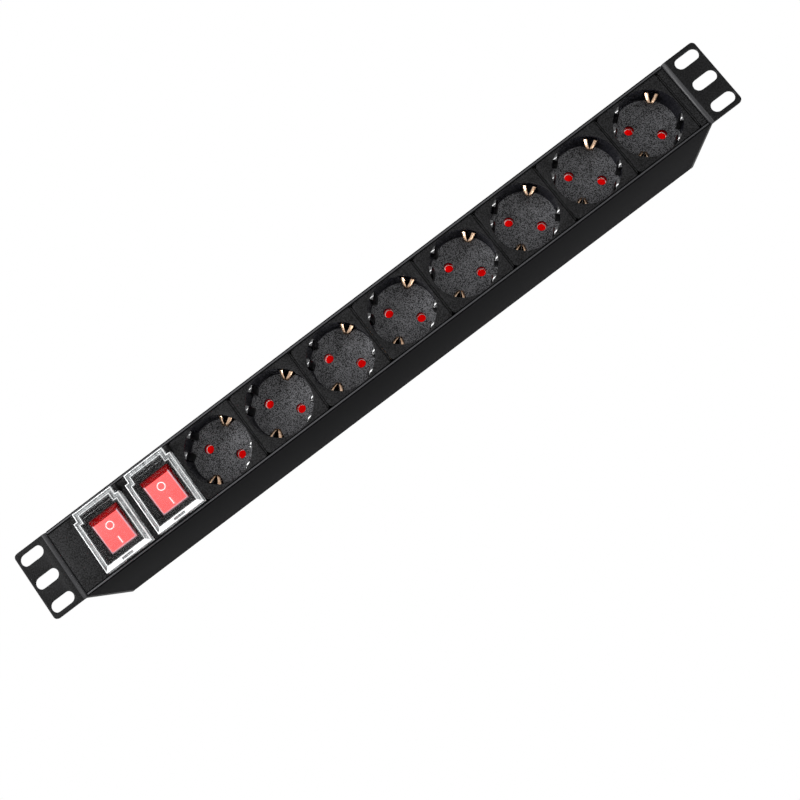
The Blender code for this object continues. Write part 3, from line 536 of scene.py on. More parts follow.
# %% [markdown]
# Modifiers do the rest. A bevel rounds every sharp edge, because an edge without a radius catches no light,
# and a boolean takes one shape out of another. Both are applied at once, so that only plain meshes are
# passed on.

# %% Modifier helpers


def evaluated(mesh, kind, **settings):
    """The plain mesh that one modifier makes of a mesh."""
    stand_in = in_scene("stand_in", mesh)
    modifier = stand_in.modifiers.new(kind.lower(), kind)
    for key, value in settings.items():
        setattr(modifier, key, value)
    made = bpy.data.meshes.new_from_object(stand_in.evaluated_get(bpy.context.evaluated_depsgraph_get()))
    bpy.data.objects.remove(stand_in)
    return made


def rounded(mesh, width, segments=2):
    """The mesh with its sharp edges rounded."""
    return evaluated(mesh, "BEVEL", width=width, segments=segments, limit_method="ANGLE",
                     angle_limit=math.radians(32))


def cut(mesh, tool):
    """The mesh with the tool's shape taken out of it."""
    cutter = in_scene("cutter", tool)
    made = evaluated(mesh, "BOOLEAN", object=cutter, operation="DIFFERENCE", solver="EXACT")
    bpy.data.objects.remove(cutter)
    return made


def marked(mesh, number):
    """The mesh with one material number on all its faces."""
    for polygon in mesh.polygons:
        polygon.material_index = number
    return mesh


# %% [markdown]
# A finished mesh is carried to its place by a matrix, so that its object can stay at the origin. Then it is
# tied to the body that it moves with, and the nodes of the frame that it stands for are hidden.

# %% Finishing helpers


def gathered(*parts):
    """One mesh of several, each given as a mesh or as a mesh and a matrix; material numbers stay."""
    bm = bmesh.new()
    for part in parts:
        mesh, place = part if isinstance(part, tuple) else (part, STILL)
        copy = mesh.copy()
        copy.transform(place)
        bm.from_mesh(copy)
        bpy.data.meshes.remove(copy)
    return as_mesh(bm, "gathered")


def piece(name, mesh, place, finishes, body, slot, *nodes):
    """A finished piece: placed, shaded, tied to its body, its nodes hidden; slot is not used."""
    placed = mesh.copy()
    placed.name = name
    placed.transform(place)
    numbers = [polygon.material_index for polygon in mesh.polygons]
    placed.materials.clear()
    for made in finishes:
        placed.materials.append(made)
    placed.polygons.foreach_set("material_index", numbers)
    placed.shade_smooth()
    placed.set_sharp_from_angle(angle=math.radians(35))
    shown = in_scene(name, placed)
    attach(shown, body)
    if nodes:
        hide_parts(*nodes)
    return shown


# %% [markdown]
# ## The shell
#
# The profile, the end brackets and the blanking pieces have the right shape in the frame, but their edges
# are knife sharp. A copy of each is merged, its flat faces are joined again, and a bevel rounds the edges.
# That is quicker and truer than drawing them anew. The long edges of the profile's rims get a wider chamfer
# first.

# %% Profile
ON_SKIN, ON_RIM_HIGHLIGHT, ON_CHAMFER_SHADE = range(3)
LIP_WIDTH, LIP_LENGTH = 0.4 * MM, 100 * MM


def joined(node):
    """A drawing of a node's mesh, in metres, with its flat faces joined."""
    bm = bmesh.new()
    bm.from_mesh(frame["nodes"][node].data)
    bmesh.ops.remove_doubles(bm, verts=bm.verts, dist=0.000002)
    bmesh.ops.dissolve_limit(bm, angle_limit=math.radians(1), verts=bm.verts, edges=bm.edges)
    return bm


def is_lip(edge):
    """Whether an edge runs along the flat of a rim."""
    level = all(abs(abs(vert.co.y) - profile_high[1]) < 0.01 * MM for vert in edge.verts)
    return level and edge.calc_length() > LIP_LENGTH


drawing = joined("housing_profile")
lips = [edge for edge in drawing.edges if is_lip(edge)]
bmesh.ops.bevel(drawing, geom=lips, affect="EDGES", offset=LIP_WIDTH, segments=3, profile=0.5,
                material=ON_CHAMFER_SHADE)
profile = rounded(as_mesh(drawing, "housing_profile"), 0.15 * MM)
# flats of the rim get the painted highlight, slanted chamfers the painted shade
for polygon in profile.polygons:
    slanted = min(abs(polygon.normal.y), abs(polygon.normal.z)) > 0.5
    if polygon.material_index == ON_SKIN and (slanted or abs(polygon.normal.y) > 0.9):
        polygon.material_index = ON_CHAMFER_SHADE if slanted else ON_RIM_HIGHLIGHT
piece("housing_profile_softened", profile, STILL, [anodised, rim_painted_highlight, chamfer_painted_shade], "strip",
      "anodised_profile", "housing_profile")
print("profile:", len(lips), "lips,", len(profile.polygons), "faces")

# %% [markdown]
# The ears bend outwards from the front edges of the end plates. The faces in the round of the bend are the
# ones that turn from x to y. They get the smooth coat, painted lighter as a highlight: the light band along
# the bend. The snap-in pieces keep one finish, and only the width of their edges' round, in millimetres,
# differs.

# %% Brackets and snap-in pieces
for node in ("left_bracket", "right_bracket"):
    bracket = rounded(as_mesh(joined(node), node), 0.25 * MM)
    for polygon in bracket.polygons:
        turning = min(abs(polygon.normal.x), abs(polygon.normal.y)) > 0.1
        # faces of the bend take the lighter coat, a painted highlight
        polygon.material_index = 1 if turning and abs(polygon.normal.z) < 0.1 else 0
    piece(f"{node}_softened", bracket, STILL, [powder, bend_powder_painted_highlight], "strip", "painted_sheet", node)
EDGE_ROUNDS = {"end_panel": 0.20, "switch_filler": 0.20, "front_end_strip": 0.20, "rear_end_strip": 0.20,
               "breaker_panel": 0.15, "front_bank_switch": 0.15, "rear_bank_switch": 0.15}
for node, width in EDGE_ROUNDS.items():
    softened = rounded(as_mesh(joined(node), node), width * MM)
    piece(f"{node}_softened", softened, STILL, [face_plastic], "strip", "insert_plastic", node)
print("softened: 2 brackets and", len(EDGE_ROUNDS), "snap-in pieces")

# %% [markdown]
# ## The sockets
#
# Each insert is a moulding with a round cup. Its face has rounded corners and a small radius at every rim,
# and a boolean would leave poor edges there, so it is drawn loop by loop. These are its sizes in
# millimetres, with depths counted from the rim of the profile. The loops' steps of 4.5 degrees fall on the
# edges of the clip slots.

# %% Sizes of an insert
FACE = 0.5
INSERT_WIDTH, INSERT_HEIGHT, INSERT_CORNER, INSERT_BACK = 43.1, 39.8, 2.5, 24.1
CUP_RADIUS, CUP_FLOOR, FLOOR_BACK = 19.6, 18.0, 20.5
POCKET_RADIUS = 13.9
STEPS = 80
SLOT_SPANS = ((7, 13), (47, 53))
SLOT_TOP, SLOT_FOOT, SLOT_BACK = 1.7, 17.5, 21.2
PIN_REACH, PIN_HOLE, PIN_MOUTH = 9.5, 2.7, 2.9
PIN_TURN, CLIP_TURN = math.radians(135), math.radians(45)
RIM_INSETS = ((0.15, 0.10, FACE), (0.05, 0.03, FACE + 0.05), (0.0, 0.0, FACE + 0.20), (0.0, 0.0, INSERT_BACK))
WALL_PROFILE = ((CUP_RADIUS + 0.15, FACE), (CUP_RADIUS + 0.05, FACE + 0.05), (CUP_RADIUS, FACE + 0.15),
                (CUP_RADIUS, SLOT_TOP), (CUP_RADIUS, SLOT_FOOT),
                (CUP_RADIUS - 0.15, CUP_FLOOR - 0.15), (CUP_RADIUS - 0.5, CUP_FLOOR))
SLOT_LEVEL = WALL_PROFILE.index((CUP_RADIUS, SLOT_TOP))
HOLE_PROFILE = ((PIN_MOUTH, CUP_FLOOR), (PIN_HOLE + 0.08, CUP_FLOOR + 0.12), (PIN_HOLE, CUP_FLOOR + 0.35),
                (PIN_HOLE, FLOOR_BACK))
ON_FACE, ON_FLOOR, ON_WALL, ON_RIB_GLINT, ON_PAINTED_SHADE = range(5)
INSERT_FINISHES = [face_plastic, floor_plastic, wall_plastic, rib_top_painted_glint, rib_side_painted_shade]
print("cup:", 2 * CUP_RADIUS, "mm across,", CUP_FLOOR - FACE, "mm deep")

# %% [markdown]
# The parts of the moulding are an outline that is drawn in less at its top and foot than at its sides,
# round loops, flat plates with holes in them, the boxes behind the two clip slots, and the two pin holes.

# %% Parts of an insert


def insert_outline(side_inset, inset, depth):
    """Points of the insert's outline at a depth, drawn in at its sides and, less, at its top and foot."""
    middle_x, middle_z = INSERT_WIDTH / 2 - INSERT_CORNER, INSERT_HEIGHT / 2 - INSERT_CORNER
    points = []
    for start, right, up in ((0, 1, 1), (90, -1, 1), (180, -1, -1), (270, 1, -1)):
        for x, z in arc((0, 0), 1.0, start, start + 90, 8):
            points.append((right * middle_x + x * (INSERT_CORNER - side_inset), depth,
                           up * middle_z + z * (INSERT_CORNER - inset)))
    return points


def ring_points(radius, depth, centre=(0.0, 0.0), steps=STEPS):
    return [(x, depth, z) for x, z in circle(centre, radius, steps)]


def plate(bm, number, *loops):
    """A flat face between an outer loop and the loops of its holes."""
    edges = []
    for ring in loops:
        for index in range(len(ring)):
            pair = (ring[index], ring[(index + 1) % len(ring)])
            edges.append(bm.edges.get(pair) or bm.edges.new(pair))
    for made in bmesh.ops.triangle_fill(bm, edges=edges, use_beauty=True)["geom"]:
        if isinstance(made, bmesh.types.BMFace):
            made.material_index = number


def clip_slots(bm, top_ring, foot_ring):
    """The boxes behind the two slots that the wall leaves open."""
    for start, end in SLOT_SPANS:
        top, foot = top_ring[start:end + 1], foot_ring[start:end + 1]
        top_back, foot_back = (loop(bm, ring_points(SLOT_BACK, depth)[start:end + 1])
                               for depth in (SLOT_TOP, SLOT_FOOT))
        for first, second in ((top, top_back), (top_back, foot_back), (foot_back, foot)):
            bridge(bm, first, second, ON_WALL, skip=(end - start,))
        for index in (0, end - start):
            side = bm.faces.new((top[index], top_back[index], foot_back[index], foot[index]))
            side.material_index = ON_WALL


def pin_hole(bm, turn):
    """A pin hole through the floor; returns its first and its last loop."""
    centre = (PIN_REACH * math.cos(turn), PIN_REACH * math.sin(turn))
    hole = [loop(bm, ring_points(radius, depth, centre, 32)) for radius, depth in HOLE_PROFILE]
    for first, second in zip(hole, hole[1:]):
        bridge(bm, first, second, ON_WALL)
    return hole[0], hole[-1]


print("pin holes", 2 * PIN_REACH, "mm apart")

# %% [markdown]
# Put together, they run from the outside in: the rim, the face, the radius of the mouth, the wall with its
# two slots, the radius at the floor, the floor with its pin holes, and the pocket behind it. A fine groove
# runs down the face beside the insert's right edge, and its faces are painted near black, as shade. It is
# one straight cut, so a boolean will do.

# %% Insert
LINE_EDGE, LINE_WIDTH, LINE_DEPTH = 1.3, 0.5, 1.0


def insert_shell():
    """The moulding's closed skin."""
    bm = bmesh.new()
    rim = [loop(bm, insert_outline(*values)) for values in RIM_INSETS]
    for first, second in zip(rim, rim[1:]):
        bridge(bm, first, second, ON_FACE)
    wall = [loop(bm, ring_points(radius, depth)) for radius, depth in WALL_PROFILE]
    plate(bm, ON_FACE, rim[0], wall[0])
    open_steps = [step for start, end in SLOT_SPANS for step in range(start, end)]
    for level, (first, second) in enumerate(zip(wall, wall[1:])):
        bridge(bm, first, second, ON_WALL if level else ON_FACE, open_steps if level == SLOT_LEVEL else ())
    clip_slots(bm, wall[SLOT_LEVEL], wall[SLOT_LEVEL + 1])
    mouths, backs = zip(*(pin_hole(bm, turn) for turn in (PIN_TURN, PIN_TURN + math.pi)))
    plate(bm, ON_FLOOR, wall[-1], *mouths)
    pocket_top, pocket_foot = (loop(bm, ring_points(POCKET_RADIUS, depth))
                               for depth in (FLOOR_BACK, INSERT_BACK))
    plate(bm, ON_WALL, pocket_top, *backs)
    bridge(bm, pocket_top, pocket_foot, ON_WALL)
    plate(bm, ON_FACE, rim[-1], pocket_foot)
    return sealed(bm)


line_start = INSERT_WIDTH / 2 - LINE_EDGE
line = box((line_start, line_start + LINE_WIDTH), (FACE - 1, FACE + LINE_DEPTH), (-25, 25))
# the groove's faces take the near-black painted shade
insert = cut(insert_shell(), marked(line, ON_PAINTED_SHADE))
print("insert:", len(insert.polygons), "faces")

# %% [markdown]
# Four ribs in each cup key the plug's flattened sides. Each stands on the wall and the floor and is sunk
# into both a little. Its top is a small tilted facet, glossy and painted a lighter grey as a painted glint,
# and then it drops steeply. The facet leans towards the long lamps: the white dash on each rib is their
# reflection in it, over that painted grey. The rib's other faces are painted near black, as shade.

# %% Guide ribs
RIB_WIDTH, RIB_OFFSET, RIB_INNER, RIB_OUTER = 4.4, 6.0, CUP_RADIUS - 3.1, CUP_RADIUS + 0.1
RIB_TOP, RIB_SHOULDER, RIB_FOOT = FACE + 0.5, FACE + 4.4, CUP_FLOOR + 0.3
FACET_TILT, FACET_REACH = math.radians(18), 2.4
facet_end = (RIB_OUTER - FACET_REACH, RIB_TOP + FACET_REACH * math.tan(FACET_TILT))
RIB_OUTLINE = [(RIB_OUTER, RIB_TOP), (RIB_OUTER, RIB_FOOT), (RIB_INNER, RIB_FOOT), (RIB_INNER, RIB_SHOULDER),
               facet_end]
rib = rounded(pulled(RIB_OUTLINE, "Z", -RIB_WIDTH / 2, RIB_WIDTH / 2), 0.25, 3)
# the facet is painted lighter as a glint, the other faces near black as shade
for polygon in rib.polygons:
    polygon.material_index = ON_RIB_GLINT if polygon.normal.y < -0.85 else ON_PAINTED_SHADE
ribs = []
for turn in (PIN_TURN, PIN_TURN + math.pi):
    for offset in (-RIB_OFFSET, RIB_OFFSET):
        ribs.append((rib, Matrix.Rotation(-turn, 4, "Y") @ Matrix.Translation((0, 0, offset))))
socket = gathered(insert, *ribs)
for side, axes in AXES.items():
    for number, axis in enumerate(axes, 1):
        node = f"{side}_socket_{number}"
        piece(f"{node}_insert", socket, FACES[side] @ across(axis), INSERT_FINISHES, "strip",
              "insert_plastic", node)
print("sockets: 16, each with", len(socket.polygons), "faces")

# %% [markdown]
# Behind the pin holes lies a turning shutter, a bar that keeps below the floor. Through each hole one sees
# the red dish in its end, whose slope lets a pin push the bar aside. A dish is a turned shape taken out of
# the bar. Its slope is painted almost white, as a highlight, and its floor a brighter red that glows, as
# painted light.

# %% Shutters
BAR_FRONT, BAR_BACK, BAR_WIDTH, BAR_BORE = 20.8, 23.7, 7.6, 2.3
DISH_MOUTH, DISH_FLOOR, DISH_SLOPE, DISH_DEPTH = 2.80, 2.35, 0.35, 2.2
ON_BAR, ON_SLOPE_HIGHLIGHT, ON_DISH_GLOW = range(3)
SHUTTER_FINISHES = [shutter_plastic, shutter_slope_painted_highlight, shutter_dish_painted_glow]
bar_outline = arc((PIN_REACH, 0), BAR_WIDTH / 2, -90, 90, 12)
bar_outline += arc((-PIN_REACH, 0), BAR_WIDTH / 2, 90, 270, 12)
bore = pulled(circle((0, 0), BAR_BORE, 24), "Y", BAR_FRONT - 0.8, BAR_BACK + 1.3)
bar = cut(pulled(bar_outline, "Y", BAR_FRONT, BAR_BACK), bore)
dish_end = BAR_FRONT + DISH_DEPTH
dish = turned([(0.0, BAR_FRONT - 1), (DISH_MOUTH, BAR_FRONT - 1), (DISH_MOUTH, dish_end - DISH_SLOPE),
               (DISH_FLOOR, dish_end), (0.0, dish_end)], 48, False)
# flat dish floor gets the painted glow, the slope the painted highlight
for polygon in dish.polygons:
    flatness = polygon.normal.y
    polygon.material_index = ON_DISH_GLOW if flatness > 0.95 else ON_SLOPE_HIGHLIGHT if flatness > 0.2 else ON_BAR
for reach in (-PIN_REACH, PIN_REACH):
    tool = dish.copy()
    tool.transform(across(reach))
    bar = cut(bar, tool)
shutter = rounded(bar, 0.10)
shutter.transform(Matrix.Rotation(-PIN_TURN, 4, "Y"))
for side, axes in AXES.items():
    for number, axis in enumerate(axes, 1):
        node = f"{side}_shutter_{number}"
        piece(f"{node}_bar", shutter, FACES[side] @ across(axis), SHUTTER_FINISHES, f"{node}_body",
              "shutter_plastic", node)
print("shutters: 16, each with", len(shutter.polygons), "faces")

# %% [markdown]
# ## Geometry Nodes for what repeats
#
# Two small trees set copies: one puts a piece at each point of a mesh, for the earth clips and the screws,
# and one sets a piece round an axis, for the ridges of the ring nuts. Both end in Realize Instances and Set
# Material, and the result is turned into a plain mesh.

# %% Trees of copies


def new_tree(name, sockets):
    """A tree with these inputs; returns it with their sockets and the shape of its piece."""
    tree = bpy.data.node_groups.new(name, "GeometryNodeTree")
    tree.interface.new_socket("Geometry", in_out="OUTPUT", socket_type="NodeSocketGeometry")
    for label, kind in sockets.items():
        tree.interface.new_socket(label, in_out="INPUT", socket_type=f"NodeSocket{kind}")
    given = add(tree, "NodeGroupInput").outputs
    shape = add(tree, "GeometryNodeObjectInfo", {"Object": given["Piece"]}).outputs["Geometry"]
    return tree, given, shape


def close_tree(tree, copies, given):
    """Ends a tree: copies become real geometry in one material."""
    real = add(tree, "GeometryNodeRealizeInstances", {"Geometry": copies}).outputs[0]
    painted = add(tree, "GeometryNodeSetMaterial", {"Geometry": real, "Material": given["Material"]})
    add(tree, "NodeGroupOutput", {"Geometry": painted.outputs[0]})


at_points, given, shape = new_tree("copies_at_points", {"Points": "Geometry", "Piece": "Object",
                                                        "Material": "Material"})
points = add(at_points, "GeometryNodeMeshToPoints", {"Mesh": given["Points"]}).outputs[0]
copies = add(at_points, "GeometryNodeInstanceOnPoints", {"Points": points, "Instance": shape}).outputs[0]
close_tree(at_points, copies, given)

round_axis, given, shape = new_tree("copies_round_axis", {"Geometry": "Geometry", "Piece": "Object",
                                                          "Count": "Int", "Radius": "Float",
                                                          "Material": "Material"})
ring = add(round_axis, "GeometryNodeMeshCircle", {"Vertices": given["Count"],
                                                  "Radius": given["Radius"]}).outputs[0]
index = add(round_axis, "GeometryNodeInputIndex").outputs[0]
step = add(round_axis, "ShaderNodeMath", {0: 2 * math.pi, 1: given["Count"]}, operation="DIVIDE").outputs[0]
angle = add(round_axis, "ShaderNodeMath", {0: index, 1: step}, operation="MULTIPLY").outputs[0]
spin = add(round_axis, "ShaderNodeCombineXYZ", {"Z": angle}).outputs[0]
copies = add(round_axis, "GeometryNodeInstanceOnPoints", {"Points": ring, "Instance": shape,
                                                          "Rotation": spin}).outputs[0]
close_tree(round_axis, copies, given)
print("trees:", at_points.name, "and", round_axis.name)

# %% [markdown]
# A tree works on a mesh of loose points. Its inputs are set by their identifiers, before the object is
# first evaluated, because a modifier doesn't know the names that a reader sees.

# %% Copies as plain meshes


def copies_of(mesh, tree, points, material, **values):
    """The plain mesh of a mesh's copies, which a tree sets on points."""
    source = bpy.data.objects.new("source", mesh)
    dots = bpy.data.meshes.new("dots")
    dots.from_pydata(points, [], [])
    holder = in_scene("holder", dots)
    modifier = holder.modifiers.new(tree.name, "NODES")
    modifier.node_group = tree
    keys = {item.name: item.identifier for item in tree.interface.items_tree if item.in_out == "INPUT"}
    for label, value in {"Piece": source, "Material": material, **values}.items():
        modifier[keys[label]] = value
    made = bpy.data.meshes.new_from_object(holder.evaluated_get(bpy.context.evaluated_depsgraph_get()))
    holder.modifiers.remove(modifier)
    bpy.data.objects.remove(holder)
    bpy.data.objects.remove(source)
    return made


# %% [markdown]
# ## Earth clips
#
# Two brass clips stand in the slots of each cup. Each is a stamped strip, split into two fingers, that bows
# inwards to press on the plug's earth contacts. Beyond the bow the fingers spread and lean back into the
# slot, so from the front they make a bright V with the dark slot between its arms. A smooth curve runs
# through a few stations of one finger: its distance from the cup's axis, its depth, its two edges across,
# and how much its outer edge leans back.

# %% Clips
CLIP_SHEET, CLIP_ROOT = 0.5, 19.0
FINGER = [(CLIP_ROOT, 25.2, 0.12, 3.4, 0.0), (CLIP_ROOT, 17.0, 0.12, 3.4, 0.0), (16.6, 12.4, 0.12, 2.6, 0.0),
          (14.3, 9.2, 0.12, 1.6, 0.1), (14.9, 7.6, 0.30, 2.0, 0.3), (17.0, 6.2, 1.3, 3.2, 0.5),
          (19.2, 5.2, 2.0, 4.0, 0.5)]


def smooth_path(points, steps):
    """Points of a Catmull-Rom curve through the given ones."""
    ends = [points[0]] + points + [points[-1]]
    path = []
    for a, b, c, d in zip(ends, ends[1:], ends[2:], ends[3:]):
        for step in range(steps):
            t = step / steps
            path.append(tuple(0.5 * (2 * q + (r - p) * t + (2 * p - 5 * q + 4 * r - s) * t * t
                                     + (3 * q - p - 3 * r + s) * t ** 3) for p, q, r, s in zip(a, b, c, d)))
    return path + [points[-1]]


def finger(side):
    """One finger of a clip: the sheet's thickness lies square to its path."""
    path = smooth_path(FINGER, 6)
    bm = bmesh.new()
    rings = []
    for index, (reach, depth, near, far, lean) in enumerate(path):
        before, after = path[max(index - 1, 0)], path[min(index + 1, len(path) - 1)]
        along = Vector((after[0] - before[0], after[1] - before[1])).normalized() * CLIP_SHEET / 2
        inner, outer = (reach - along.y, depth + along.x), (reach + along.y, depth - along.x)
        corners = ((inner, near), (inner, far), (outer, far), (outer, near))
        rings.append(loop(bm, [(skin[0], skin[1] + lean * (edge - near), side * edge)
                               for skin, edge in corners]))
    for first, second in zip(rings, rings[1:]):
        bridge(bm, first, second)
    bm.faces.new(rings[0])
    bm.faces.new(rings[-1])
    return rounded(sealed(bm), 0.12)


clip = gathered(finger(-1), finger(1))
clip_pair = gathered(*((clip, Matrix.Rotation(-turn, 4, "Y")) for turn in (CLIP_TURN, CLIP_TURN + math.pi)))
print("pair of clips:", len(clip_pair.polygons), "faces")

# %% [markdown]
# A row has a pair of clips at each of its sockets. Behind the inserts, two bars carry them, and a link joins
# the bars at one end. They are plain strips of the same brass. The live and neutral rails are hidden
# channels, so the frame's own nodes serve, in brass.

# %% Rows of clips and rails
BAR_DEPTHS, BAR_HALF, BAR_LEAD, LINK_WIDTH = (24.4, 25.4), 1.8, 20, 4
BAR_SPAN = CLIP_ROOT * math.sin(CLIP_TURN)
for side, axes in AXES.items():
    clips = copies_of(clip_pair, at_points, [(axis, 0, 0) for axis in axes], brass)
    piece(f"{side}_earth_clips", clips, FACES[side], [brass], "strip", "sprung_brass")
    node = f"{side}_earth_rail"
    low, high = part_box(node)
    reach = (FACES[side].inverted() @ Vector((high[0] if side == "front" else low[0], 0, 0))).x
    bars = [box((axes[0] - BAR_LEAD, reach), BAR_DEPTHS, (z - BAR_HALF, z + BAR_HALF))
            for z in (-BAR_SPAN, BAR_SPAN)]
    bars.append(box((reach - LINK_WIDTH, reach), BAR_DEPTHS, (-BAR_SPAN, BAR_SPAN)))
    piece(f"{side}_earth_bars", rounded(gathered(*bars), 0.1), FACES[side], [brass], "strip",
          "sprung_brass", node)
    for rail in ("live_rail", "neutral_rail"):
        frame["nodes"][f"{side}_{rail}"].material_slots[0].material = brass
print("earth bars:", round(2 * BAR_SPAN, 1), "mm apart")

# %% [markdown]
# ## The switches
#
# A rocker turns about a pin behind its face. Its flat face carries an O and an I, printed in white, and is
# painted a lighter, glowing red, as painted light. Its two ends are round about the pin, and the upper one
# shows as a band painted a darker red, as shade, while that end stands proud. Wedges take away what is left
# over: the sides lean in towards the face and are painted the darker red too, the upper edge is cut off at a
# slant, and a shallow facet along the other three edges is painted pale pink, a painted highlight. A wedge is
# given by where it enters the face, where it ends outside the rocker, and how deep it is there.

# %% Rocker
ROCKER_WIDTH, ROCKER_FACE, ROCKER_RISE, ROCKER_TILT = 19.2, 19.6, 8.9, math.radians(11)
ROCKER_RADIUS = math.hypot(ROCKER_FACE / 2, ROCKER_RISE)
ROCKER_BACK, ROCKER_PIN, PIN_STUB = 3.5, 1.5, 1.6
ON_SHADED_SIDE, ON_GLOWING_FACE, ON_HIGHLIGHT_EDGE = range(3)
LEAN = (8.6, 10.0, -4.7)
SIDE_FACET = (7.7, 10.7, -ROCKER_RISE + 1.1)
TOP_SLANT = (8.8, 12.0, -7.0)
FOOT_FACET = (-8.9, -11.9, -ROCKER_RISE + 1.1)


def wedge(axis, start, end, depth):
    """A wedge along an axis, from just outside the rocker's face."""
    skin = -ROCKER_RISE - 0.1
    outline = [(start, skin), (end, skin), (end, depth)]
    if axis == "X":
        outline = [(y, z) for z, y in outline]
    return pulled(outline, axis, -20, 20)


crest = math.degrees(math.atan2(ROCKER_FACE / 2, ROCKER_RISE))
rocker_outline = arc((0, 0), ROCKER_RADIUS, 180 - crest, 100, 10)
rocker_outline += [(ROCKER_BACK, ROCKER_BACK), (ROCKER_BACK, -ROCKER_BACK)]
rocker_outline += arc((0, 0), ROCKER_RADIUS, 260, 180 + crest, 10)
rocker = pulled(rocker_outline, "X", -ROCKER_WIDTH / 2, ROCKER_WIDTH / 2)
for side in (-1, 1):
    for (start, end, depth), number in ((LEAN, ON_SHADED_SIDE), (SIDE_FACET, ON_HIGHLIGHT_EDGE)):
        rocker = cut(rocker, marked(wedge("Z", side * start, side * end, depth), number))
for values, number in ((TOP_SLANT, ON_SHADED_SIDE), (FOOT_FACET, ON_HIGHLIGHT_EDGE)):
    rocker = cut(rocker, marked(wedge("X", *values), number))
rocker = rounded(rocker, 0.15)
# the flat face takes the glowing red, painted light
for polygon in rocker.polygons:
    if polygon.normal.y < -0.99:
        polygon.material_index = ON_GLOWING_FACE
pin_end = ROCKER_WIDTH / 2 + PIN_STUB
rocker = gathered(rocker, pulled(circle((0, 0), ROCKER_PIN, 16), "X", -pin_end, pin_end))
print("rocker radius", round(ROCKER_RADIUS, 2), "mm")

# %% [markdown]
# The two marks are printed, so they stand hardly above the face. A turned ring makes the O and a thin bar
# the I. Each rocker is placed by the axis of its hinge, tipped to the side that is on.

# %% Marks and rockers
MARK_DEPTH = (-ROCKER_RISE - 0.06, -ROCKER_RISE + 0.1)
RING_RADII, RING_HEIGHT, STROKE_HALF, STROKE_ENDS = (2.0, 2.45), 4.1, 0.28, (-8.0, -3.6)
ring_profile = [(RING_RADII[0], MARK_DEPTH[0]), (RING_RADII[1], MARK_DEPTH[0]),
                (RING_RADII[1], MARK_DEPTH[1]), (RING_RADII[0], MARK_DEPTH[1])]
marks = gathered((turned(ring_profile, 48, True), Matrix.Translation((0, 0, RING_HEIGHT))),
                 box((-STROKE_HALF, STROKE_HALF), MARK_DEPTH, STROKE_ENDS))
for bank in BANKS:
    hinge = next(joint for joint in frame["joints"] if joint["name"] == f"{bank}_rocker_hinge")
    place = Matrix.Translation(hinge["pos_m"]) @ Matrix.Rotation(ROCKER_TILT, 4, "X") @ SCALE
    body = f"{bank}_rocker_body"
    piece(f"{bank}_rocker_key", rocker, place, [rocker_side_painted_shade, rocker_face_painted_glow, rocker_edge_painted_highlight], body,
          "rocker_plastic", f"{bank}_rocker")
    piece(f"{bank}_rocker_marks", marks, place, [print_white], body, "rocker_plastic")
print("rockers:", len(BANKS))

# %% [markdown]
# The clear cover is a shallow hood that narrows where it hinges between two lugs. What one sees of it are
# its edges: the band at every radius and every small step in its rim is painted near white, as a highlight
# line, with fainter whitish bands of painted sheen between. So it is drawn as nested outlines, each given by
# its inset, its depth and what the band to the next one is: edge, wall or window. The foot of the rim is a
# broad lip, which is all painted edge.

# %% Hood of a cover
COVER_WIDE, COVER_NARROW, COVER_TOP, COVER_STEP, COVER_FOOT = 15.85, 13.5, 19.4, 14.5, -19.4
COVER_FRONT, COVER_BACK, COVER_WALL, COVER_LIP = -6.3, 0.2, 1.3, 2.8
LIP_START = -5.6
WINDOW, SHEEN_BAND, HIGHLIGHT_BAND = range(3)
OUTER_RIM = [(0.0, COVER_BACK, SHEEN_BAND), (0.0, -5.5, HIGHLIGHT_BAND), (0.15, -5.95, HIGHLIGHT_BAND), (0.45, -6.22, HIGHLIGHT_BAND),
             (0.6, COVER_FRONT, SHEEN_BAND), (1.2, COVER_FRONT, SHEEN_BAND), (1.55, -5.95, SHEEN_BAND), (2.6, -5.95, HIGHLIGHT_BAND),
             (2.9, -6.2, SHEEN_BAND), (3.4, -6.2, WINDOW)]
INNER_RIM = [(0.0, COVER_BACK, SHEEN_BAND), (0.0, -4.6, SHEEN_BAND), (0.35, -5.0, WINDOW)]


def cover_outline(inset, foot_inset):
    wide, narrow = COVER_WIDE - inset, COVER_NARROW - inset
    top, step, foot = COVER_TOP - inset, COVER_STEP - inset, COVER_FOOT + foot_inset
    return [(wide, foot), (wide, step), (narrow, step), (narrow, top),
            (-narrow, top), (-narrow, step), (-wide, step), (-wide, foot)]


def hood_shell():
    """The hood's closed skin: the stepped rim, the cavity inside, and a band behind that joins them."""
    bm = bmesh.new()

    def loops(rim, wall, lip):
        return [loop(bm, [(x, y, z) for x, z in cover_outline(wall + inset, lip + inset)])
                for inset, y, kind in rim]

    def band(first, second, kind):
        for face in bridge(bm, first, second, kind):
            at_foot = max(vert.co.z for vert in face.verts) < COVER_FOOT + COVER_LIP + 0.1
            if at_foot and face.calc_center_median().y < LIP_START:
                face.material_index = HIGHLIGHT_BAND

    outer, inner = loops(OUTER_RIM, 0.0, 0.0), loops(INNER_RIM, COVER_WALL, COVER_LIP)
    for rings, rim in ((outer, OUTER_RIM), (inner, INNER_RIM)):
        for first, second, (inset, y, kind) in zip(rings, rings[1:], rim):
            band(first, second, kind)
    band(outer[0], inner[0], SHEEN_BAND)
    for ring in (outer[-1], inner[-1]):
        bm.faces.new(ring).material_index = WINDOW
    return sealed(bm)


hood = hood_shell()
print("hood:", len(hood.polygons), "faces")

# %% [markdown]
# Booleans cut the hinge's clearance and its bore, a notch in the foot, a nail slot in the lip, and two fine
# lines across the window beside the hinge.

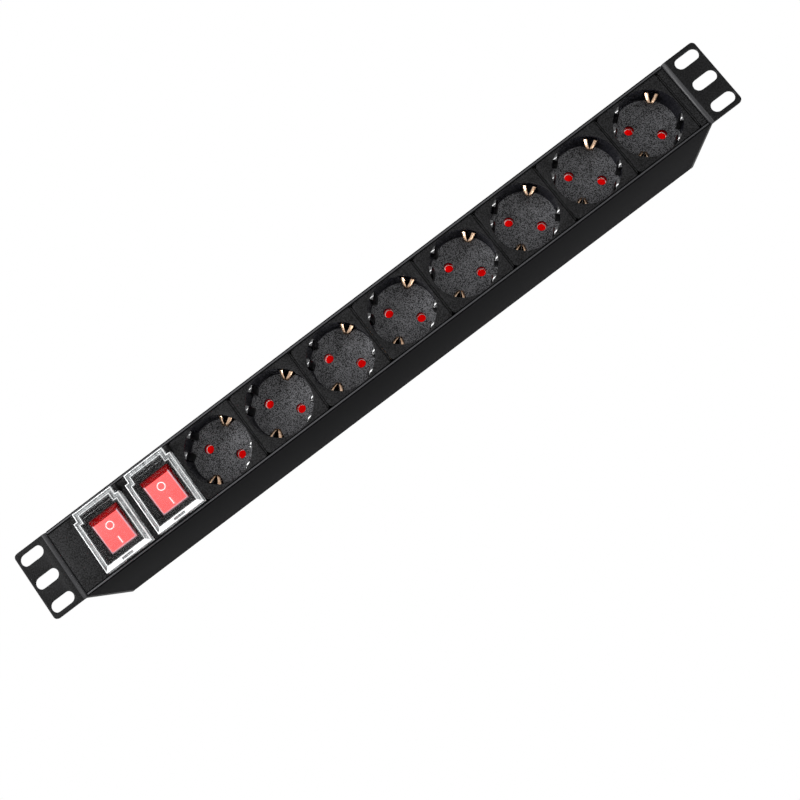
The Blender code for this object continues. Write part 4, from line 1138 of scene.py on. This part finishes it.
# %% Flip covers
HINGE_Y, HINGE_Z, HINGE_BORE = -2.6, 17.3, 1.3
hinge_room = box((-30, 30), (-0.9, 10), (COVER_STEP, 21))
notch = box((-4, 4), (-1.6, 10), (-25, -17))
bore = pulled(circle((HINGE_Y, HINGE_Z), HINGE_BORE, 24), "X", -30, 30)
nail_slot = box((-3.8, 3.8), (-10, -5.2), (-18.8, -17.2))
lines = [box((-9.6, 9.6), (-10, -6.0), (z, z + 0.2)) for z in (15.4, 13.5)]
for tool in (hinge_room, notch, bore, nail_slot, *lines):
    hood = cut(hood, marked(tool, SHEEN_BAND))
for bank in BANKS:
    place = FACES["front"] @ across(axis_of(f"{bank}_switch", "front"))
    piece(f"{bank}_cover_hood", hood, place, [clear_window, clear_wall_painted_sheen, clear_edge_painted_highlight], f"{bank}_cover_body",
          "clear_cover", f"{bank}_cover")
print("covers: 2, with", len(hood.polygons), "faces")

# %% [markdown]
# ## The breakers
#
# On the rear, a ring nut with a ridged edge clamps each breaker's neck to the panel. The neck ends in a
# grey collar, and the domed reset button stands in its bore. These are turned shapes. The ridges of the nut
# come from the tree that sets copies round an axis, and are then tipped from its z to the nut's y.

# %% Breakers and ring nuts
NECK, COLLAR, NECK_BORE = 5.9, 5.2, 4.4
NECK_PROFILE = [(NECK_BORE, -2.6), (4.5, -2.7), (5.05, -2.7), (COLLAR, -2.5), (COLLAR, -1.7), (NECK, -1.7),
                (NECK, 3.8), (NECK, 4.2), (NECK_BORE, 4.2)]
BLADE_SPREAD, BLADE_HALF = 7.85, 3.15
NUT_PROFILE = [(6.2, 0.2), (6.2, -2.0), (6.6, -2.4), (7.9, -2.4), (8.3, -2.1), (8.45, -1.6), (8.45, 0.2)]
RIDGES, RIDGE_RADIUS = 40, 8.48
case = rounded(box((-7, 7), (3.3, 25.3), (-15, 15)), 0.4)
blades = [rounded(box((-0.4, 0.4), (24.8, 32.3), (z - BLADE_HALF, z + BLADE_HALF)), 0.15)
          for z in (-BLADE_SPREAD, BLADE_SPREAD)]
breaker = gathered(turned(NECK_PROFILE, 64, True), case, *blades)
ridge = rounded(box((-0.32, 0.32), (-0.25, 0.25), (-2.0, 0.2)), 0.12)
ridges = copies_of(ridge, round_axis, [(0, 0, 0)], nylon, Count=RIDGES, Radius=RIDGE_RADIUS)
nut = gathered(turned(NUT_PROFILE, 96, True), (ridges, Matrix.Rotation(-math.pi / 2, 4, "X")))
print("each nut:", len(nut.polygons), "faces")

# %% [markdown]
# The button's dome is a cap of a ball, up to 60 degrees from its top, stretched to the button's radius and
# the dome's height.

# %% Reset buttons
BUTTON, BUTTON_TOP, BUTTON_FOOT, DOME_HEIGHT, DOME_SPAN = 4.1, -6.3, 5.7, 1.9, 60
cap_radius, cap_height = math.sin(math.radians(DOME_SPAN)), 1 - math.cos(math.radians(DOME_SPAN))
dome = [(BUTTON * sine / cap_radius, BUTTON_TOP + DOME_HEIGHT * (1 - cosine) / cap_height)
        for cosine, sine in arc((0, 0), 1.0, 0, DOME_SPAN, 12)]
button = turned(dome + [(BUTTON, BUTTON_FOOT), (0.0, BUTTON_FOOT)], 64, False)
for bank in BANKS:
    place = FACES["rear"] @ across(axis_of(f"{bank}_reset_button", "rear"))
    piece(f"{bank}_breaker_case", breaker, place, [collar_plastic], "strip", "breaker_plastic",
          f"{bank}_breaker")
    piece(f"{bank}_ring_nut_ridged", nut, place, [face_plastic], "strip", "gland_plastic", f"{bank}_ring_nut")
    piece(f"{bank}_button_dome", button, place, [button_plastic], f"{bank}_button_body", "button_plastic",
          f"{bank}_reset_button")
print("breakers, nuts and buttons:", len(BANKS), "each")

# %% [markdown]
# ## The cable gland and the screws
#
# The gland sits in the left end plate: a flange against the sheet and a domed nut that squeezes the seal.
# Both are turned about the gland's axis, with depths counted outwards from the sheet.

# %% Gland
PLATE_OUTER = -profile_low[0] + 2.3 * MM
GLAND_BORE, THREAD, FLANGE = 4.0, 7.7, 9.6
gland_low, gland_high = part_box("gland_body")
outward = Matrix.Translation((-PLATE_OUTER, (gland_low[1] + gland_high[1]) / 2, MIDDLE))
outward = outward @ Matrix.Rotation(math.pi / 2, 4, "Z") @ SCALE
gland_body = turned([(GLAND_BORE, -10), (7.4, -10), (THREAD, -9.7), (THREAD, 0.3), (9.3, 0.3), (FLANGE, 0.6),
                     (FLANGE, 2.7), (9.3, 3.0), (6.4, 3.0), (6.4, 6.2), (GLAND_BORE, 6.2)], 64, True)
gland_dome = [(5.6 + 4.2 * cosine, 5.7 + 3.3 * sine) for cosine, sine in arc((0, 0), 1.0, 0, 90, 10)]
gland_nut = turned([(6.7, 3.3), (9.6, 3.3), (9.8, 3.5)] + gland_dome
                   + [(4.2, 9.0), (GLAND_BORE, 8.8), (GLAND_BORE, 7.6), (6.7, 7.6)], 64, True)
piece("gland_body_turned", gland_body, outward, [nylon], "strip", "gland_plastic", "gland_body")
piece("gland_nut_domed", gland_nut, outward, [nylon], "strip", "gland_plastic", "gland_nut")
print("gland:", len(gland_body.polygons) + len(gland_nut.polygons), "faces")

# %% [markdown]
# Eight pan head screws hold each end plate to the grooves of the profile. A head is a turned dome with a
# cross cut into it, and the tree for points sets it at its seats.

# %% Screws
HEAD_RADIUS, HEAD_HEIGHT, CROSS_HALF, CROSS_WIDTH, CROSS_DEPTH = 2.2, 1.5, 1.25, 0.56, 0.8
SEATS = [(y, z) for y in (-39.0, -21.5, 21.5, 39.0) for z in (-19.4, 19.4)]
head_dome = [(HEAD_RADIUS * sine, -HEAD_HEIGHT * cosine) for cosine, sine in arc((0, 0), 1.0, 0, 90, 8)]
head = turned(head_dome + [(HEAD_RADIUS, 0.2), (0.0, 0.2)], 24, False)
for turn in (0, math.pi / 2):
    groove = box((-CROSS_HALF, CROSS_HALF), (-3, -HEAD_HEIGHT + CROSS_DEPTH),
                 (-CROSS_WIDTH / 2, CROSS_WIDTH / 2))
    groove.transform(Matrix.Rotation(turn, 4, "Y"))
    head = cut(head, groove)
for side, sign in (("left", -1), ("right", 1)):
    facing = head.copy()
    facing.transform(SCALE)
    facing.transform(Matrix.Rotation(sign * math.pi / 2, 4, "Z"))
    seats = [(sign * PLATE_OUTER, y * MM, MIDDLE + z * MM) for y, z in SEATS]
    screws = copies_of(facing, at_points, seats, steel_black)
    piece(f"{side}_plate_screws", screws, STILL, [steel_black], "strip", "painted_sheet")
print("screws in each plate:", len(SEATS))
